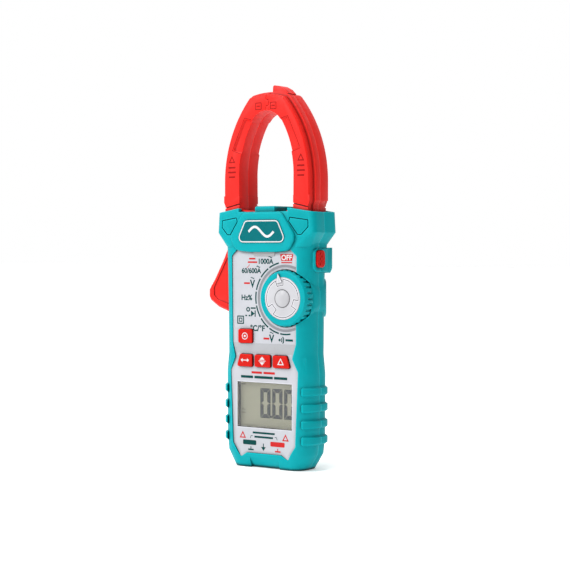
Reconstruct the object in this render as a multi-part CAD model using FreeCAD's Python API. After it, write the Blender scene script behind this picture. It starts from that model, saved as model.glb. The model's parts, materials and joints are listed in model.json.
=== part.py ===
import FreeCAD, Part
import math
import os

from FreeCAD import Vector

# Clamp meter in millimetres. +X is the user's right, the face looks along -Y and +Z is up.
# Y = 0 is the plane where the front and rear covers meet, and z = 0 is the foot of the case.

OUT = "parts"

# Case
WALL = 2.2
FRONT = -13.3
BACK = 13.0
# Stations up the body: height, half-width at the seam, front face, back face, front and rear corner radius.
BODY = [
    (0.0, 26.2, -10.8, 10.6, 8.0, 7.0),
    (10.0, 32.2, -13.2, BACK, 11.5, 9.0),
    (19.0, 33.3, FRONT, BACK, 12.0, 9.0),
    (60.0, 33.5, FRONT, BACK, 12.0, 9.0),
    (72.0, 32.2, FRONT, BACK, 12.0, 9.0),
    (98.0, 32.4, FRONT, BACK, 12.0, 9.0),
    (122.0, 32.9, FRONT, BACK, 12.0, 9.0),
    (142.0, 33.0, FRONT, 14.0, 11.0, 6.5),
]
HEAD_FLAT = 19.5
HEAD_SLOPE = 1.9
HEAD_BACK = 15.5
HEAD = [
    (139.0, 31.6, FRONT, 14.0, 8.0, 6.0),
    (147.8, 37.4, -13.8, HEAD_BACK, 3.6, 4.6),
    (163.2, 36.5, -13.8, HEAD_BACK, 3.6, 4.6),
]
SHOULDER_INNER = 18.6
SHOULDER_INNER_TOP = 163.1
SHOULDER_OUTER_TOP = 160.4
ARCH_TOP = 160.9
CAVITY_FLOOR = 4.2
CAVITY_FRONT = -9.6
CAVITY_TOP = 144.0
BLOCK_HALF = 7.3
BLOCK_TOP = 164.4
BLOCK_Y = 11.6
BLOCK_FOOT = 160.2
BLOCK_ROOM = (5.2, 4.6, 162.9)
BOSS_FRONT = -15.3
BOSS = [
    (-14.6, 160.7, 5.0),
    (14.6, 160.7, 5.0),
    (25.0, 145.4, 6.0),
    (20.4, 136.6, 7.0),
    (10.0, 135.7, 3.0),
    (-10.0, 135.7, 3.0),
    (-20.4, 136.6, 7.0),
    (-25.0, 145.4, 6.0),
]
BADGE = [(-12.6, 155.8, 4.0), (12.6, 155.8, 4.0), (19.4, 141.4, 3.6), (-19.4, 141.4, 3.6)]
BADGE_FRONT = -15.6
BADGE_DEPTH = 0.9
SHOULDER_MARK = [(20.0, 157.6), (33.0, 155.8), (33.0, 151.0), (28.2, 146.2), (25.4, 146.2), (19.2, 154.6)]
MARK_WIDTH = 0.7
MARK_DEPTH = 0.7
PAD_Z = (122.7, 138.4)
PAD_BACK = 17.5
PAD_CHAMFER = 5.1
RIB_HEIGHT = 6.0
RIB_PITCH = 10.1
RIB_FIRST = 16.0
RIB_COUNT = 4
RIB_PROUD = 1.6
RIB_FLANK = 1.1
RIB_INNER = 28.4
RIB_REAR = 10.0
SCOOP_HALF = 11.0
SCOOP_TOP = 7.0
SCOOP_TOP_Y = -12.6
SCOOP_FOOT_Y = -8.6
WAIST_OUT = 28.0
WAIST_DEPTH = 0.9
WAIST_Z = (61.3, 69.6, 78.6)

# Face panel, let into the front cover
PANEL_FRONT = -12.0
PANEL_BACK = -11.0
PANEL_GAP = 0.12
PANEL = [
    (20.4, 137.2, 1.2),
    (24.6, 133.2, 1.2),
    (24.0, 78.6, 1.2),
    (21.6, 69.6, 1.2),
    (25.5, 61.3, 1.2),
    (23.7, 15.2, 1.2),
    (17.9, 6.4, 0.8),
    (13.0, 9.3, 0.8),
]
INDICATOR = (-8.2, 8.2, 133.0, 136.4)
LCD = (-20.8, 20.8, 25.2, 53.8)
LENS_GAP = 0.15

# Dial
DIAL_X = 15.9
DIAL_Z = 107.0
KNOB_RADIUS = 17.7
KNOB_TOP_RADIUS = 16.5
KNOB_FRONT = -15.2
KNOB_SHOULDER = -12.4
KNOB_BACK = -8.0
KNOB_NOTCHES = 30
KNOB_NOTCH_RADIUS = 0.9
POCKET_RADIUS = 18.1
POCKET_FLOOR = -7.5
FLOOR_BACK = -6.0
POCKET_WALL = 1.7
BARREL_RADIUS = 18.4
DISC_RADIUS = 13.2
DISC_SEAT = -13.8
DISC_FRONT = -15.4
LOBE_RADIUS = 11.6
LOBE_FOOT = 7.9
LOBE_NOTCH = 2.4
GROOVE_WIDTH = 0.4
GROOVE_DEPTH = 0.5
HUB_RADIUS = 5.2
HUB_RISE = 1.2
POINTER_ANGLE = 11.25
POINTER_HALF = 1.9
POINTER_R = (10.0, 15.6)
SHAFT_RADIUS = 3.1
SHAFT_GAP = 0.1
ROTOR_RADIUS = 10.8
ROTOR_BACK = -4.2
DETENTS = 9
DETENT_STEP = 22.5

# Jaws. Both turn about pins at the head, and their levers mesh on the centre line.
PIVOT_X = 20.0
PIVOT_Z = 153.5
PIN_RADIUS = 2.5
PIN_GAP = 0.06
JAW_HALF = 10.3
JAW_FOOT = 140.0
JAW_SIDE = 32.4
JAW_TOP = 234.1
SIDE_ARC = 80.0
SIDE_ARC_Z = 180.0
TOP_ARC = 50.6
TIP_CORNER = 2.3
FLANGE_HALF = 5.6
FLANGE_REAR = 8.6
FACE_CHAMFER = 0.9
FLANGE_PROUD = 1.7
HUB_OUT = 9.0
SPLIT_GAP = 0.15
TIP_STEP = 2.0
TIP_STEP_Z = (226.6, 231.4)
FLANGE_FOOT = 167.5
FACE_FOOT = 167.0
ROOT_MIDDLE = [
    (20.5, 171.0),
    (34.1, 171.0),
    (34.1, 167.5),
    (32.7, 165.2),
    (32.7, 158.5),
    (28.6, 150.5),
    (20.5, 147.0),
]
ROOT_FACES = [
    (20.5, 171.0),
    (32.4, 171.0),
    (32.4, 167.0),
    (31.4, 164.8),
    (31.4, 158.5),
    (27.8, 150.5),
    (20.5, 147.0),
]
SHELL_OUT = 2.2
SHELL_IN = 1.8
SHELL_SIDE = 1.9
ROOM_FOOT = 169.0
CORE_OUT = 3.6
CORE_IN = 3.1
CORE_HALF = 6.0
COIL_OUT = 2.5
COIL_IN = 2.1
COIL_HALF = 7.6
COIL_Z = (172.0, 200.0)
COLLAR_GROOVE = 0.8
RECESS_DEPTH = 1.0
RECESS_SLOPE = 0.8
RECESS = [(16.3, 219.7, 1.5), (8.9, 218.0, 1.5), (14.8, 196.0, 1.5), (25.4, 200.0, 1.5)]
JAW_SCREWS = [(26.4, 167.6), (22.0, 211.5)]
JAW_SCREW_RADIUS = 0.9
JAW_SCREW_HEAD = 1.7
HOOK_REAR = 4.0
HOOK = [
    (1.9, 233.0),
    (2.3, 239.2),
    (3.3, 239.9),
    (6.6, 239.4),
    (10.6, 237.4),
    (13.4, 234.6),
    (11.8, 232.4),
]
LEVER_HALF = 3.5
LEVER_HUB = 8.0
GEAR_MODULE = 1.0
GEAR_TEETH = 40
TOOTH_THIN = 0.34
TRIGGER_HALF = 6.0
TRIGGER = [
    (-33.9, 137.0),
    (-38.0, 128.6),
    (-41.1, 123.2),
    (-44.1, 117.8),
    (-46.8, 113.9),
    (-48.3, 111.4),
    (-48.3, 107.0),
    (-47.0, 104.6),
    (-40.7, 100.4),
    (-32.8, 97.6),
    (-29.6, 99.0),
    (-26.6, 120.0),
    (-24.0, 134.0),
    (-29.6, 139.4),
]
TRIGGER_CHAMFER = 1.4
TRIGGER_SERRATIONS = 9
SERRATION_RADIUS = 0.85
TRIGGER_PANEL = [
    (-27.0, 137.4, 0.5),
    (-33.6, 131.4, 0.8),
    (-44.0, 112.9, 1.5),
    (-44.0, 108.0, 1.5),
    (-41.0, 105.0, 1.0),
    (-28.0, 101.0, 0.5),
]
TRIGGER_PANEL_DEPTH = 0.7
SLOT_Z = (94.8, 139.9)
SLOT_GAP = 0.5

# Keys: outline corners with radii
KEY_TOP = -13.6
KEY_GAP = 0.3
KEY_FLANGE = 0.9
KEY_BACK = -5.0
KEYS = {
    "func_button": [(-19.2, 87.1, 1.1), (-8.5, 87.3, 1.1), (-8.5, 78.5, 1.1), (-19.2, 78.3, 1.1)],
    "range_button": [(-17.8, 71.4, 1.1), (-8.4, 71.4, 1.1), (-8.4, 63.6, 1.1), (-20.3, 63.6, 1.1)],
    "max_min_button": [(-6.6, 71.4, 1.1), (5.4, 71.4, 1.1), (5.4, 63.6, 1.1), (-6.6, 63.6, 1.1)],
    "relative_button": [(7.2, 71.4, 1.1), (17.6, 71.4, 1.1), (20.1, 63.6, 1.1), (7.2, 63.6, 1.1)],
}
SIDE_KEY_Y = (-5.0, 3.8)
SIDE_KEY_Y_MIDDLE = -0.6
SIDE_KEY_CORNER = 2.6
SIDE_KEY_Z = (126.2, 136.8)
DOT_RADIUS = 0.5
DOT_SPREAD = 0.8
DOT_PITCH = 1.6
SIDE_KEY_OUT = 35.3
SIDE_BOSS_OUT = 33.9
SIDE_BOSS_FRONT = -6.3
SIDE_BOSS_REAR = 13.0
SIDE_BOSS_Z = (123.4, 138.0)

# Inside
BOARD_FRONT = -3.0
BOARD_BACK = -1.4
WINDOW_BACK = -8.4
GLASS_FRONT = -8.0
GLASS_BACK = -6.4
BEZEL = 0.4
CELL_RADIUS = 5.2
CELL_LENGTH = 44.5
CELL_PITCH = 11.2
CELL_Y = 5.2
TRAY_HALF = 19.0
TRAY_Z = (25.0, 76.0)
DOOR_HALF = 20.6
DOOR_Z = (22.8, 83.0)
DOOR_GAP = 0.2
DOOR_SCREW_Z = 79.6
JACK_X = 10.3
JACK_DEPTH = 18.0
JACK_TUBE_BORE = 2.0
JACK_TUBE_OUT = 2.6
JACK_SLEEVE = 3.4
JACK_RECESS = 5.9
HOUSING_HALF = 19.0
HOUSING_Y = 6.9
HOUSING_TOP = 20.5
SCREWS = [(-25.6, 15.0), (25.6, 15.0), (-27.0, 89.0), (26.6, 84.0), (0.0, 141.4)]
SCREW_RADIUS = 1.25
SCREW_HEAD = 2.6
CROSS_HALF = 0.3
POST_RADIUS = 3.3
POST_FRONT = -10.9


def box(x0, x1, y0, y1, z0, z1):
    return Part.makeBox(x1 - x0, y1 - y0, z1 - z0, Vector(x0, y0, z0))


def rod(radius, x, z, y0, y1):
    """A cylinder along Y."""
    return Part.makeCylinder(radius, y1 - y0, Vector(x, y0, z), Vector(0, 1, 0))


def post(radius, x, y, z0, z1):
    """A cylinder along Z."""
    return Part.makeCylinder(radius, z1 - z0, Vector(x, y, z0))


def ring(outer, inner, x, z, y0, y1):
    return rod(outer, x, z, y0, y1).cut(rod(inner, x, z, y0 - 1, y1 + 1))


def extrude(wire, depth):
    return Part.Face(wire).extrude(Vector(0, depth, 0))


def plate(points, y0, y1):
    """A prism from y0 to y1 whose outline, drawn in XZ, has straight sides."""
    wire = Part.makePolygon([Vector(x, y0, z) for x, z in list(points) + [points[0]]])
    return extrude(wire, y1 - y0)


def rounded_wire(corners, y):
    """A closed wire in XZ through corners given as (x, z, corner radius)."""
    joints = []
    for index, (x, z, radius) in enumerate(corners):
        here = Vector(x, y, z)
        last = corners[index - 1]
        following = corners[(index + 1) % len(corners)]
        back = (Vector(last[0], y, last[1]) - here).normalize()
        ahead = (Vector(following[0], y, following[1]) - here).normalize()
        half = back.getAngle(ahead) / 2
        reach = radius / math.tan(half)
        middle = (back + ahead).normalize() * (radius / math.sin(half) - radius)
        joints.append((here + back * reach, here + middle, here + ahead * reach))
    edges = []
    for index, (start, middle, end) in enumerate(joints):
        edges.append(Part.Arc(start, middle, end).toShape())
        edges.append(Part.LineSegment(end, joints[(index + 1) % len(joints)][0]).toShape())
    return Part.Wire(edges)


def rounded_plate(corners, y0, y1, grow=0.0):
    wire = rounded_wire(corners, y0)
    if grow:
        wire = wire.makeOffset2D(grow)
    return extrude(wire, y1 - y0)


def mirrored(corners):
    """Corners of the right half, followed by their mirror images in reverse."""
    return corners + [(-corner[0],) + tuple(corner[1:]) for corner in reversed(corners)]


def mirror_x(shape):
    return shape.mirror(Vector(0, 0, 0), Vector(1, 0, 0))


def fuse(shapes):
    return shapes[0].multiFuse(shapes[1:]).removeSplitter()


def section(z, half_width, front, back, front_radius, back_radius, flat=None, slope=0.0):
    """A level section of the case: a rounded box whose front may slope back outside the flat part."""
    shoulder = half_width - front_radius
    if flat is None:
        flat = shoulder / 2
    bend = math.sqrt(0.5)
    front_low = front + slope
    right = [
        Vector(flat, front, z),
        Vector(shoulder, front_low, z),
        Vector(shoulder + front_radius * bend, front_low + front_radius * (1 - bend), z),
        Vector(half_width, front_low + front_radius, z),
        Vector(half_width, back - back_radius, z),
        Vector(half_width - back_radius * (1 - bend), back - back_radius * (1 - bend), z),
        Vector(half_width - back_radius, back, z),
    ]
    left = [Vector(-p.x, p.y, p.z) for p in right]
    edges = [
        Part.LineSegment(left[0], right[0]).toShape(),
        Part.LineSegment(right[0], right[1]).toShape(),
        Part.Arc(right[1], right[2], right[3]).toShape(),
        Part.LineSegment(right[3], right[4]).toShape(),
        Part.Arc(right[4], right[5], right[6]).toShape(),
        Part.LineSegment(right[6], left[6]).toShape(),
        Part.Arc(left[6], left[5], left[4]).toShape(),
        Part.LineSegment(left[4], left[3]).toShape(),
        Part.Arc(left[3], left[2], left[1]).toShape(),
        Part.LineSegment(left[1], left[0]).toShape(),
    ]
    return Part.Wire(edges)


def loft(stations, flat=None, slopes=None):
    wires = []
    for index, station in enumerate(stations):
        slope = slopes[index] if slopes else 0.0
        wires.append(section(*station, flat=flat, slope=slope))
    return Part.makeLoft(wires, True, True)


def write(name, shape):
    shape.exportStep(OUT + "/" + name + ".step")


# ---------------------------------------------------------------- case


def outer_case():
    """The outside of both covers as one solid."""
    body = loft(BODY)
    head = loft(HEAD, flat=HEAD_FLAT, slopes=[0.0, HEAD_SLOPE, HEAD_SLOPE])
    top = HEAD[-1][0] + 4
    for side in (1, -1):
        wedge = [
            (side * SHOULDER_INNER, SHOULDER_INNER_TOP),
            (side * 40.0, SHOULDER_OUTER_TOP - 0.5),
            (side * 40.0, top),
            (side * SHOULDER_INNER, top),
        ]
        head = head.cut(plate(wedge, -20, 20))
    head = head.cut(box(-SHOULDER_INNER, SHOULDER_INNER, -20, 20, ARCH_TOP, top))
    block = box(-BLOCK_HALF, BLOCK_HALF, -BLOCK_Y, BLOCK_Y, ARCH_TOP - 4, BLOCK_TOP)
    block = block.makeFillet(1.2, [e for e in block.Edges if e.BoundBox.ZMin > BLOCK_TOP - 0.1])
    boss = rounded_plate(BOSS, BOSS_FRONT, FRONT + 3)
    boss = boss.makeFillet(1.3, [e for e in boss.Edges if e.BoundBox.YMax < BOSS_FRONT + 0.1])
    case = fuse([body, head, block, boss, rear_pad(), side_boss(), knob_barrel()] + ribs())
    return case.cut(waist_facets())


def rear_pad():
    """The raised pad across the back, with a sloping lower edge."""
    low, high = PAD_Z
    sides = (32.9, FRONT, PAD_BACK, 12.0, 3.0)
    pad = loft([(low, *sides), (high, *sides)])
    pad = pad.cut(box(-40, 40, -20, 6, low - 1, high + 1))
    slope = Part.makePolygon(
        [
            Vector(-40, BACK, low),
            Vector(-40, PAD_BACK + 1, low + PAD_CHAMFER + 1),
            Vector(-40, PAD_BACK + 1, low - 1),
            Vector(-40, BACK, low - 1),
            Vector(-40, BACK, low),
        ]
    )
    return pad.cut(Part.Face(slope).extrude(Vector(80, 0, 0)))


def ribs():
    """Grip ribs with sloping flanks that wrap round both sides, from the front corners to the rear ones."""
    profile = ((0, 0), (RIB_FLANK, RIB_PROUD), (RIB_HEIGHT - RIB_FLANK, RIB_PROUD), (RIB_HEIGHT, 0))
    made = []
    for index in range(RIB_COUNT):
        low = RIB_FIRST + index * RIB_PITCH
        stations = []
        for z, proud in profile:
            stations.append((low + z, 33.3 + proud, FRONT - proud, BACK + proud, 12.0 + proud, 9.0 + proud))
        rib = loft(stations)
        for side in (1, -1):
            keep = box(RIB_INNER, 40, FRONT - RIB_PROUD, RIB_REAR, low, low + RIB_HEIGHT)
            made.append(rib.common(keep if side > 0 else mirror_x(keep)))
    return made


def knob_barrel():
    """Round the dial, the case bulges out of its right side as a barrel on the dial's axis."""
    sides = (33.9, FRONT, BACK + 1.0, 12.0, 10.0)
    bulge = loft([(80.0, *sides), (134.0, *sides)])
    barrel = rod(BARREL_RADIUS, DIAL_X, DIAL_Z, POCKET_FLOOR, BACK)
    return bulge.common(barrel).common(box(30, 40, -20, 20, 80, 134))


def waist_facets():
    """A shallow V across both front corners, beside the waist of the panel."""
    cuts = []
    for side in (1, -1):
        points = [
            (WAIST_OUT + 6, WAIST_Z[0]),
            (WAIST_OUT, WAIST_Z[0]),
            (WAIST_OUT - WAIST_DEPTH, WAIST_Z[1]),
            (WAIST_OUT, WAIST_Z[2]),
            (WAIST_OUT + 6, WAIST_Z[2]),
        ]
        wedge = plate(points, -14, 14)
        wedge.rotate(Vector(0, 0, 0), Vector(0, 0, 1), -45)
        cuts.append(wedge if side > 0 else mirror_x(wedge))
    return fuse(cuts)


def side_boss():
    """The raised lobe round the side key. It runs back into the rear pad."""
    low, high = SIDE_BOSS_Z
    boss = box(28, SIDE_BOSS_OUT, SIDE_BOSS_FRONT, SIDE_BOSS_REAR, low, high)
    corners = [e for e in boss.Edges if e.BoundBox.YMax < SIDE_BOSS_FRONT + 0.1 and e.BoundBox.ZLength < 0.1]
    boss = boss.makeFillet(3.2, corners)
    outer = [e for e in boss.Edges if e.BoundBox.XMin > SIDE_BOSS_OUT - 0.1]
    boss = boss.makeFillet(0.6, [e for e in outer if e.BoundBox.YMax < SIDE_BOSS_REAR - 0.1])
    sides = (34.6, FRONT, BACK + 1.0, 12.0, 10.0)
    return boss.common(loft([(low - 1, *sides), (high + 1, *sides)]))


def case_room():
    """The space inside both covers."""
    stations = [(CAVITY_FLOOR, 27.4, -9.0, 9.0, 5.0, 5.0)]
    for z, half_width, front, back, front_radius, back_radius in BODY[1:]:
        stations.append((z, half_width - WALL, CAVITY_FRONT, back - 2.1, 6.0, back_radius - 1.6))
    stations[-1] = (CAVITY_TOP, 30.7, CAVITY_FRONT, 11.4, 6.0, 5.0)
    room = loft(stations)
    half = [(30.5, 137.0), (30.6, 140.4), (34.8, 147.9), (34.9, 157.0), (36.0, 160.5), (36.4, 170.0)]
    flange_room = plate(mirrored(half), -6.0, 6.0)
    narrow = [(26.0, 142.6), (30.2, 145.2), (34.2, 149.4), (34.3, 157.0), (34.8, 160.5), (35.2, 170.0)]
    jaw_room = plate(mirrored(narrow), -JAW_HALF - 0.4, JAW_HALF + 0.4)
    return fuse([room, jaw_room, flange_room])


def covers():
    outer = outer_case()
    shell = outer.cut(case_room())
    block = box(-BLOCK_HALF, BLOCK_HALF, -BLOCK_Y, BLOCK_Y, BLOCK_FOOT, BLOCK_TOP).common(outer)
    room_x, room_y, room_top = BLOCK_ROOM
    block = block.cut(box(-room_x, room_x, -room_y, room_y, BLOCK_FOOT - 1, room_top))
    floor = rod(POCKET_RADIUS + POCKET_WALL, DIAL_X, DIAL_Z, FRONT, FLOOR_BACK).common(outer)
    pins = []
    for side in (1, -1):
        pins.append(rod(4.6, side * PIVOT_X, PIVOT_Z, -11.6, -JAW_HALF - 0.3))
        pins.append(rod(4.6, side * PIVOT_X, PIVOT_Z, JAW_HALF + 0.3, 14.0))
    shell = fuse([shell, block, floor] + pins)
    for side in (1, -1):
        shell = shell.cut(rod(PIN_RADIUS, side * PIVOT_X, PIVOT_Z, -12.2, 14.0))
    shell = shell.cut(rounded_plate(mirrored(PANEL), FRONT - 1, PANEL_BACK, PANEL_GAP).cut(boss_guard()))
    shell = shell.cut(rounded_plate(BADGE, BADGE_FRONT - 1, BADGE_FRONT + BADGE_DEPTH, 0.1))
    shell = shell.cut(rod(POCKET_RADIUS, DIAL_X, DIAL_Z, FRONT - 3, POCKET_FLOOR))
    shell = shell.cut(rod(SHAFT_RADIUS + SHAFT_GAP, DIAL_X, DIAL_Z, FRONT, 0))
    x0, x1, z0, z1 = LCD
    shell = shell.cut(box(x0 - 0.5, x1 + 0.5, FRONT, WINDOW_BACK, z0 - 0.5, z1 + 0.5))
    x0, x1, z0, z1 = INDICATOR
    shell = shell.cut(box(x0 + 2, x1 - 2, FRONT, WINDOW_BACK, z0 + 0.8, z1 - 0.8))
    for corners in KEYS.values():
        shell = shell.cut(rounded_plate(corners, FRONT, WINDOW_BACK, KEY_GAP))
    for side in (1, -1):
        shell = shell.cut(shoulder_mark(side))
    shell = shell.cut(trigger_slot())
    shell = shell.cut(side_key_hole())
    shell = shell.cut(foot_scoop())
    shell = shell.cut(box(-HOUSING_HALF - 0.1, HOUSING_HALF + 0.1, -HOUSING_Y - 0.1, HOUSING_Y + 0.1, -1, 5))
    front = shell.common(box(-60, 60, -20, 0, -1, 170))
    rear = shell.common(box(-60, 60, 0, 20, -1, 170))
    return front_fittings(front), rear_fittings(rear)


def boss_guard():
    """The panel pocket stops at the badge boss."""
    return rounded_plate(BOSS, FRONT - 4, 0)


def shoulder_mark(side):
    """A fine outline cut into each shoulder."""
    points = [(side * x, z, 1.0) for x, z in SHOULDER_MARK]
    band = rounded_plate(points, -15, -9).cut(rounded_plate(points, -15, -9, -MARK_WIDTH))
    shoulder_x = HEAD[1][1] - HEAD[1][4]
    y_in = HEAD[1][2]
    y_out = y_in + HEAD_SLOPE
    reach = 40
    y_far = y_out + (reach - shoulder_x) * HEAD_SLOPE / (shoulder_x - HEAD_FLAT)
    floor = Part.makePolygon(
        [
            Vector(0, y_in - 3, 140),
            Vector(side * HEAD_FLAT, y_in - 3, 140),
            Vector(side * reach, y_in - 3, 140),
            Vector(side * reach, y_far + MARK_DEPTH, 140),
            Vector(side * HEAD_FLAT, y_in + MARK_DEPTH, 140),
            Vector(0, y_in + MARK_DEPTH, 140),
            Vector(0, y_in - 3, 140),
        ]
    )
    return band.common(Part.Face(floor).extrude(Vector(0, 0, 25)))


def trigger_slot():
    low, high = SLOT_Z
    half = TRIGGER_HALF + SLOT_GAP
    return box(-36, -28.6, -half, half, low, high)


def side_key_hole():
    low, high = SIDE_KEY_Z
    front, rear = SIDE_KEY_Y
    gap = KEY_GAP
    hole = box(30, 38, front - gap, rear + gap, low - gap, high + gap)
    return hole.makeFillet(SIDE_KEY_CORNER + gap, [e for e in hole.Edges if e.BoundBox.XLength > 4])


def foot_scoop():
    """A sloping scoop in the front of the foot, deepest at the bottom."""
    slope = Part.makePolygon(
        [
            Vector(-SCOOP_HALF, -20, -1),
            Vector(-SCOOP_HALF, -20, SCOOP_TOP),
            Vector(-SCOOP_HALF, SCOOP_TOP_Y, SCOOP_TOP),
            Vector(-SCOOP_HALF, SCOOP_FOOT_Y, 0),
            Vector(-SCOOP_HALF, SCOOP_FOOT_Y, -1),
            Vector(-SCOOP_HALF, -20, -1),
        ]
    )
    return Part.Face(slope).extrude(Vector(2 * SCOOP_HALF, 0, 0))


def front_fittings(front):
    """Screw posts for the case and the board, and the nest of the display."""
    posts = []
    for x, z in SCREWS:
        posts.append(rod(POST_RADIUS, x, z, POST_FRONT, 0))
    for x, z in board_posts():
        posts.append(rod(2.4, x, z, POST_FRONT, BOARD_FRONT))
    room = fuse([loft(BODY), loft(HEAD, flat=HEAD_FLAT, slopes=[0.0, HEAD_SLOPE, HEAD_SLOPE])])
    front = fuse([front] + [one.common(room) for one in posts])
    for x, z in SCREWS:
        front = front.cut(rod(SCREW_RADIUS, x, z, -8.0, 1))
    for x, z in board_posts():
        front = front.cut(rod(0.9, x, z, -8.4, 0))
    return front


def board_posts():
    return [(-22.5, 60.8), (24.6, 60.8), (-9.0, 126.0), (10.0, 133.8)]


def rear_fittings(rear):
    """Screw posts, the opening of the battery door and the ledge that its screw holds to."""
    posts = []
    for x, z in SCREWS:
        posts.append(rod(POST_RADIUS, x, z, 0, 11.5))
    low, high = DOOR_Z
    posts.append(box(-DOOR_HALF - 2, DOOR_HALF + 2, 8.6, 11.4, 77.0, high + 2.5))
    posts.append(rod(3.4, 0, DOOR_SCREW_Z, 3.6, 10.7))
    room = fuse([loft(BODY), loft(HEAD, flat=HEAD_FLAT, slopes=[0.0, HEAD_SLOPE, HEAD_SLOPE])])
    opening = box(-DOOR_HALF, DOOR_HALF, 10.7, 20, low, high)
    rear = rear.cut(opening)
    rear = fuse([rear] + [one.common(room) for one in posts])
    rear = rear.cut(opening)
    rear = rear.cut(box(-TRAY_HALF, TRAY_HALF, 0, 12, *TRAY_Z))
    for x, z in SCREWS:
        rear = rear.cut(rod(SCREW_RADIUS + 0.15, x, z, -1, 12))
        rear = rear.cut(rod(SCREW_HEAD + 0.2, x, z, 7.0, 20))
    return rear.cut(rod(1.3, 0, DOOR_SCREW_Z, 3.9, 12))


def face_panel():
    panel = rounded_plate(mirrored(PANEL), PANEL_FRONT, PANEL_BACK)
    panel = panel.cut(rounded_plate(BOSS, FRONT, 0, 0.15))
    panel = panel.cut(rod(POCKET_RADIUS, DIAL_X, DIAL_Z, FRONT, 0))
    x0, x1, z0, z1 = LCD
    panel = panel.cut(box(x0, x1, FRONT, 0, z0, z1))
    x0, x1, z0, z1 = INDICATOR
    panel = panel.cut(box(x0, x1, FRONT, 0, z0, z1))
    for corners in KEYS.values():
        panel = panel.cut(rounded_plate(corners, FRONT, 0, KEY_GAP))
    return panel


def badge_plate():
    return rounded_plate(BADGE, BADGE_FRONT, BADGE_FRONT + BADGE_DEPTH)


def indicator_window():
    x0, x1, z0, z1 = INDICATOR
    window = box(x0 + 0.1, x1 - 0.1, PANEL_FRONT - 0.5, PANEL_BACK, z0 + 0.1, z1 - 0.1)
    window = window.makeFillet(0.35, [e for e in window.Edges if e.BoundBox.YMax < PANEL_FRONT - 0.4])
    stem = box(x0 + 2.3, x1 - 2.3, PANEL_BACK, CAVITY_FRONT + 0.2, z0 + 1.1, z1 - 1.1)
    return fuse([window, stem]).cut(rounded_plate(BOSS, BOSS_FRONT - 1, FRONT + 3, 0.1))


def display():
    """Lens, glass, frame, backlight and contact strips of the display."""
    x0, x1, z0, z1 = LCD
    gap = LENS_GAP
    lens = box(x0 + gap, x1 - gap, PANEL_FRONT + 0.1, PANEL_BACK, z0 + gap, z1 - gap)
    glass = box(x0 - 1.6, x1 + 1.6, GLASS_FRONT, GLASS_BACK, z0 - 3.0, z1 + 3.0)
    frame = box(x0 - 3.0, x1 + 3.0, GLASS_FRONT, BOARD_FRONT, z0 - 4.6, z1 + 4.6)
    frame = frame.cut(box(x0 - 1.6, x1 + 1.6, GLASS_FRONT - 1, BOARD_FRONT + 1, z0 - 3.0, z1 + 3.0))
    bezel = fuse(
        [
            box(x0 - BEZEL, x1 + BEZEL, PANEL_BACK + 0.05, GLASS_FRONT, z0 - BEZEL, z1 + BEZEL),
            box(x0 - 3.0, x1 + 3.0, GLASS_FRONT - 1.0, GLASS_FRONT, z0 - 4.6, z1 + 4.6),
        ]
    )
    frame = fuse([frame, bezel.cut(box(x0, x1, FRONT, GLASS_FRONT + 1, z0, z1))])
    backlight = box(x0 - 1.4, x1 + 1.4, GLASS_BACK, -4.6, z0 + 0.4, z1 - 0.4)
    strips = []
    for low, high in ((z0 - 2.8, z0 - 0.8), (z1 + 0.8, z1 + 2.8)):
        strips.append(box(x0, x1, GLASS_BACK, BOARD_FRONT, low, high))
    write("lcd_lens", lens)
    write("lcd_glass", glass)
    write("lcd_frame", frame)
    write("lcd_backlight", backlight)
    write("zebra_strips", Part.makeCompound(strips))


def main_board():
    """The circuit board. Its upper left is cut away, where the trigger swings in."""
    outline = [
        (-23.0, 22.5),
        (23.0, 22.5),
        (29.0, 27.0),
        (29.0, 80.0),
        (27.6, 90.0),
        (27.6, 137.0),
        (6.0, 137.0),
        (6.0, 132.0),
        (-11.6, 132.0),
        (-11.6, 94.0),
        (-22.0, 92.0),
        (-22.0, 80.0),
        (-29.0, 76.0),
        (-29.0, 27.0),
    ]
    board = plate(outline, BOARD_FRONT, BOARD_BACK)
    for x, z in SCREWS:
        board = board.cut(rod(POST_RADIUS + 0.4, x, z, -5, 0))
    for x, z in board_posts():
        board = board.cut(rod(1.3, x, z, -5, 0))
    return board


def board_parts():
    chips = [
        box(-6.0, 6.0, BOARD_BACK, 0.2, 84.0, 96.0),
        box(12.0, 22.0, BOARD_BACK, 0.0, 96.0, 106.0),
        box(-8.0, -2.0, BOARD_BACK, 0.2, 104.0, 110.0),
        box(10.0, 15.0, BOARD_BACK, 0.4, 114.0, 119.0),
    ]
    resistors = [box(2.0 + 4.6 * i, 4.4 + 4.6 * i, BOARD_BACK, 1.4, 122.0, 129.0) for i in range(4)]
    buzzer = ring(6.0, 1.2, 20.0, 110.8, 0.9, 4.6)
    led = rod(1.5, 0, 0, -8.8, BOARD_FRONT)
    led.translate(Vector(0, 0, (INDICATOR[2] + INDICATOR[3]) / 2 - 3.6))
    return chips, resistors, buzzer, led


def cross_recess(x, z, half_span, y0, y1):
    """The cross in a screw's head."""
    level = box(x - half_span, x + half_span, y0, y1, z - CROSS_HALF, z + CROSS_HALF)
    upright = box(x - CROSS_HALF, x + CROSS_HALF, y0, y1, z - half_span, z + half_span)
    return fuse([level, upright])


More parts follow.
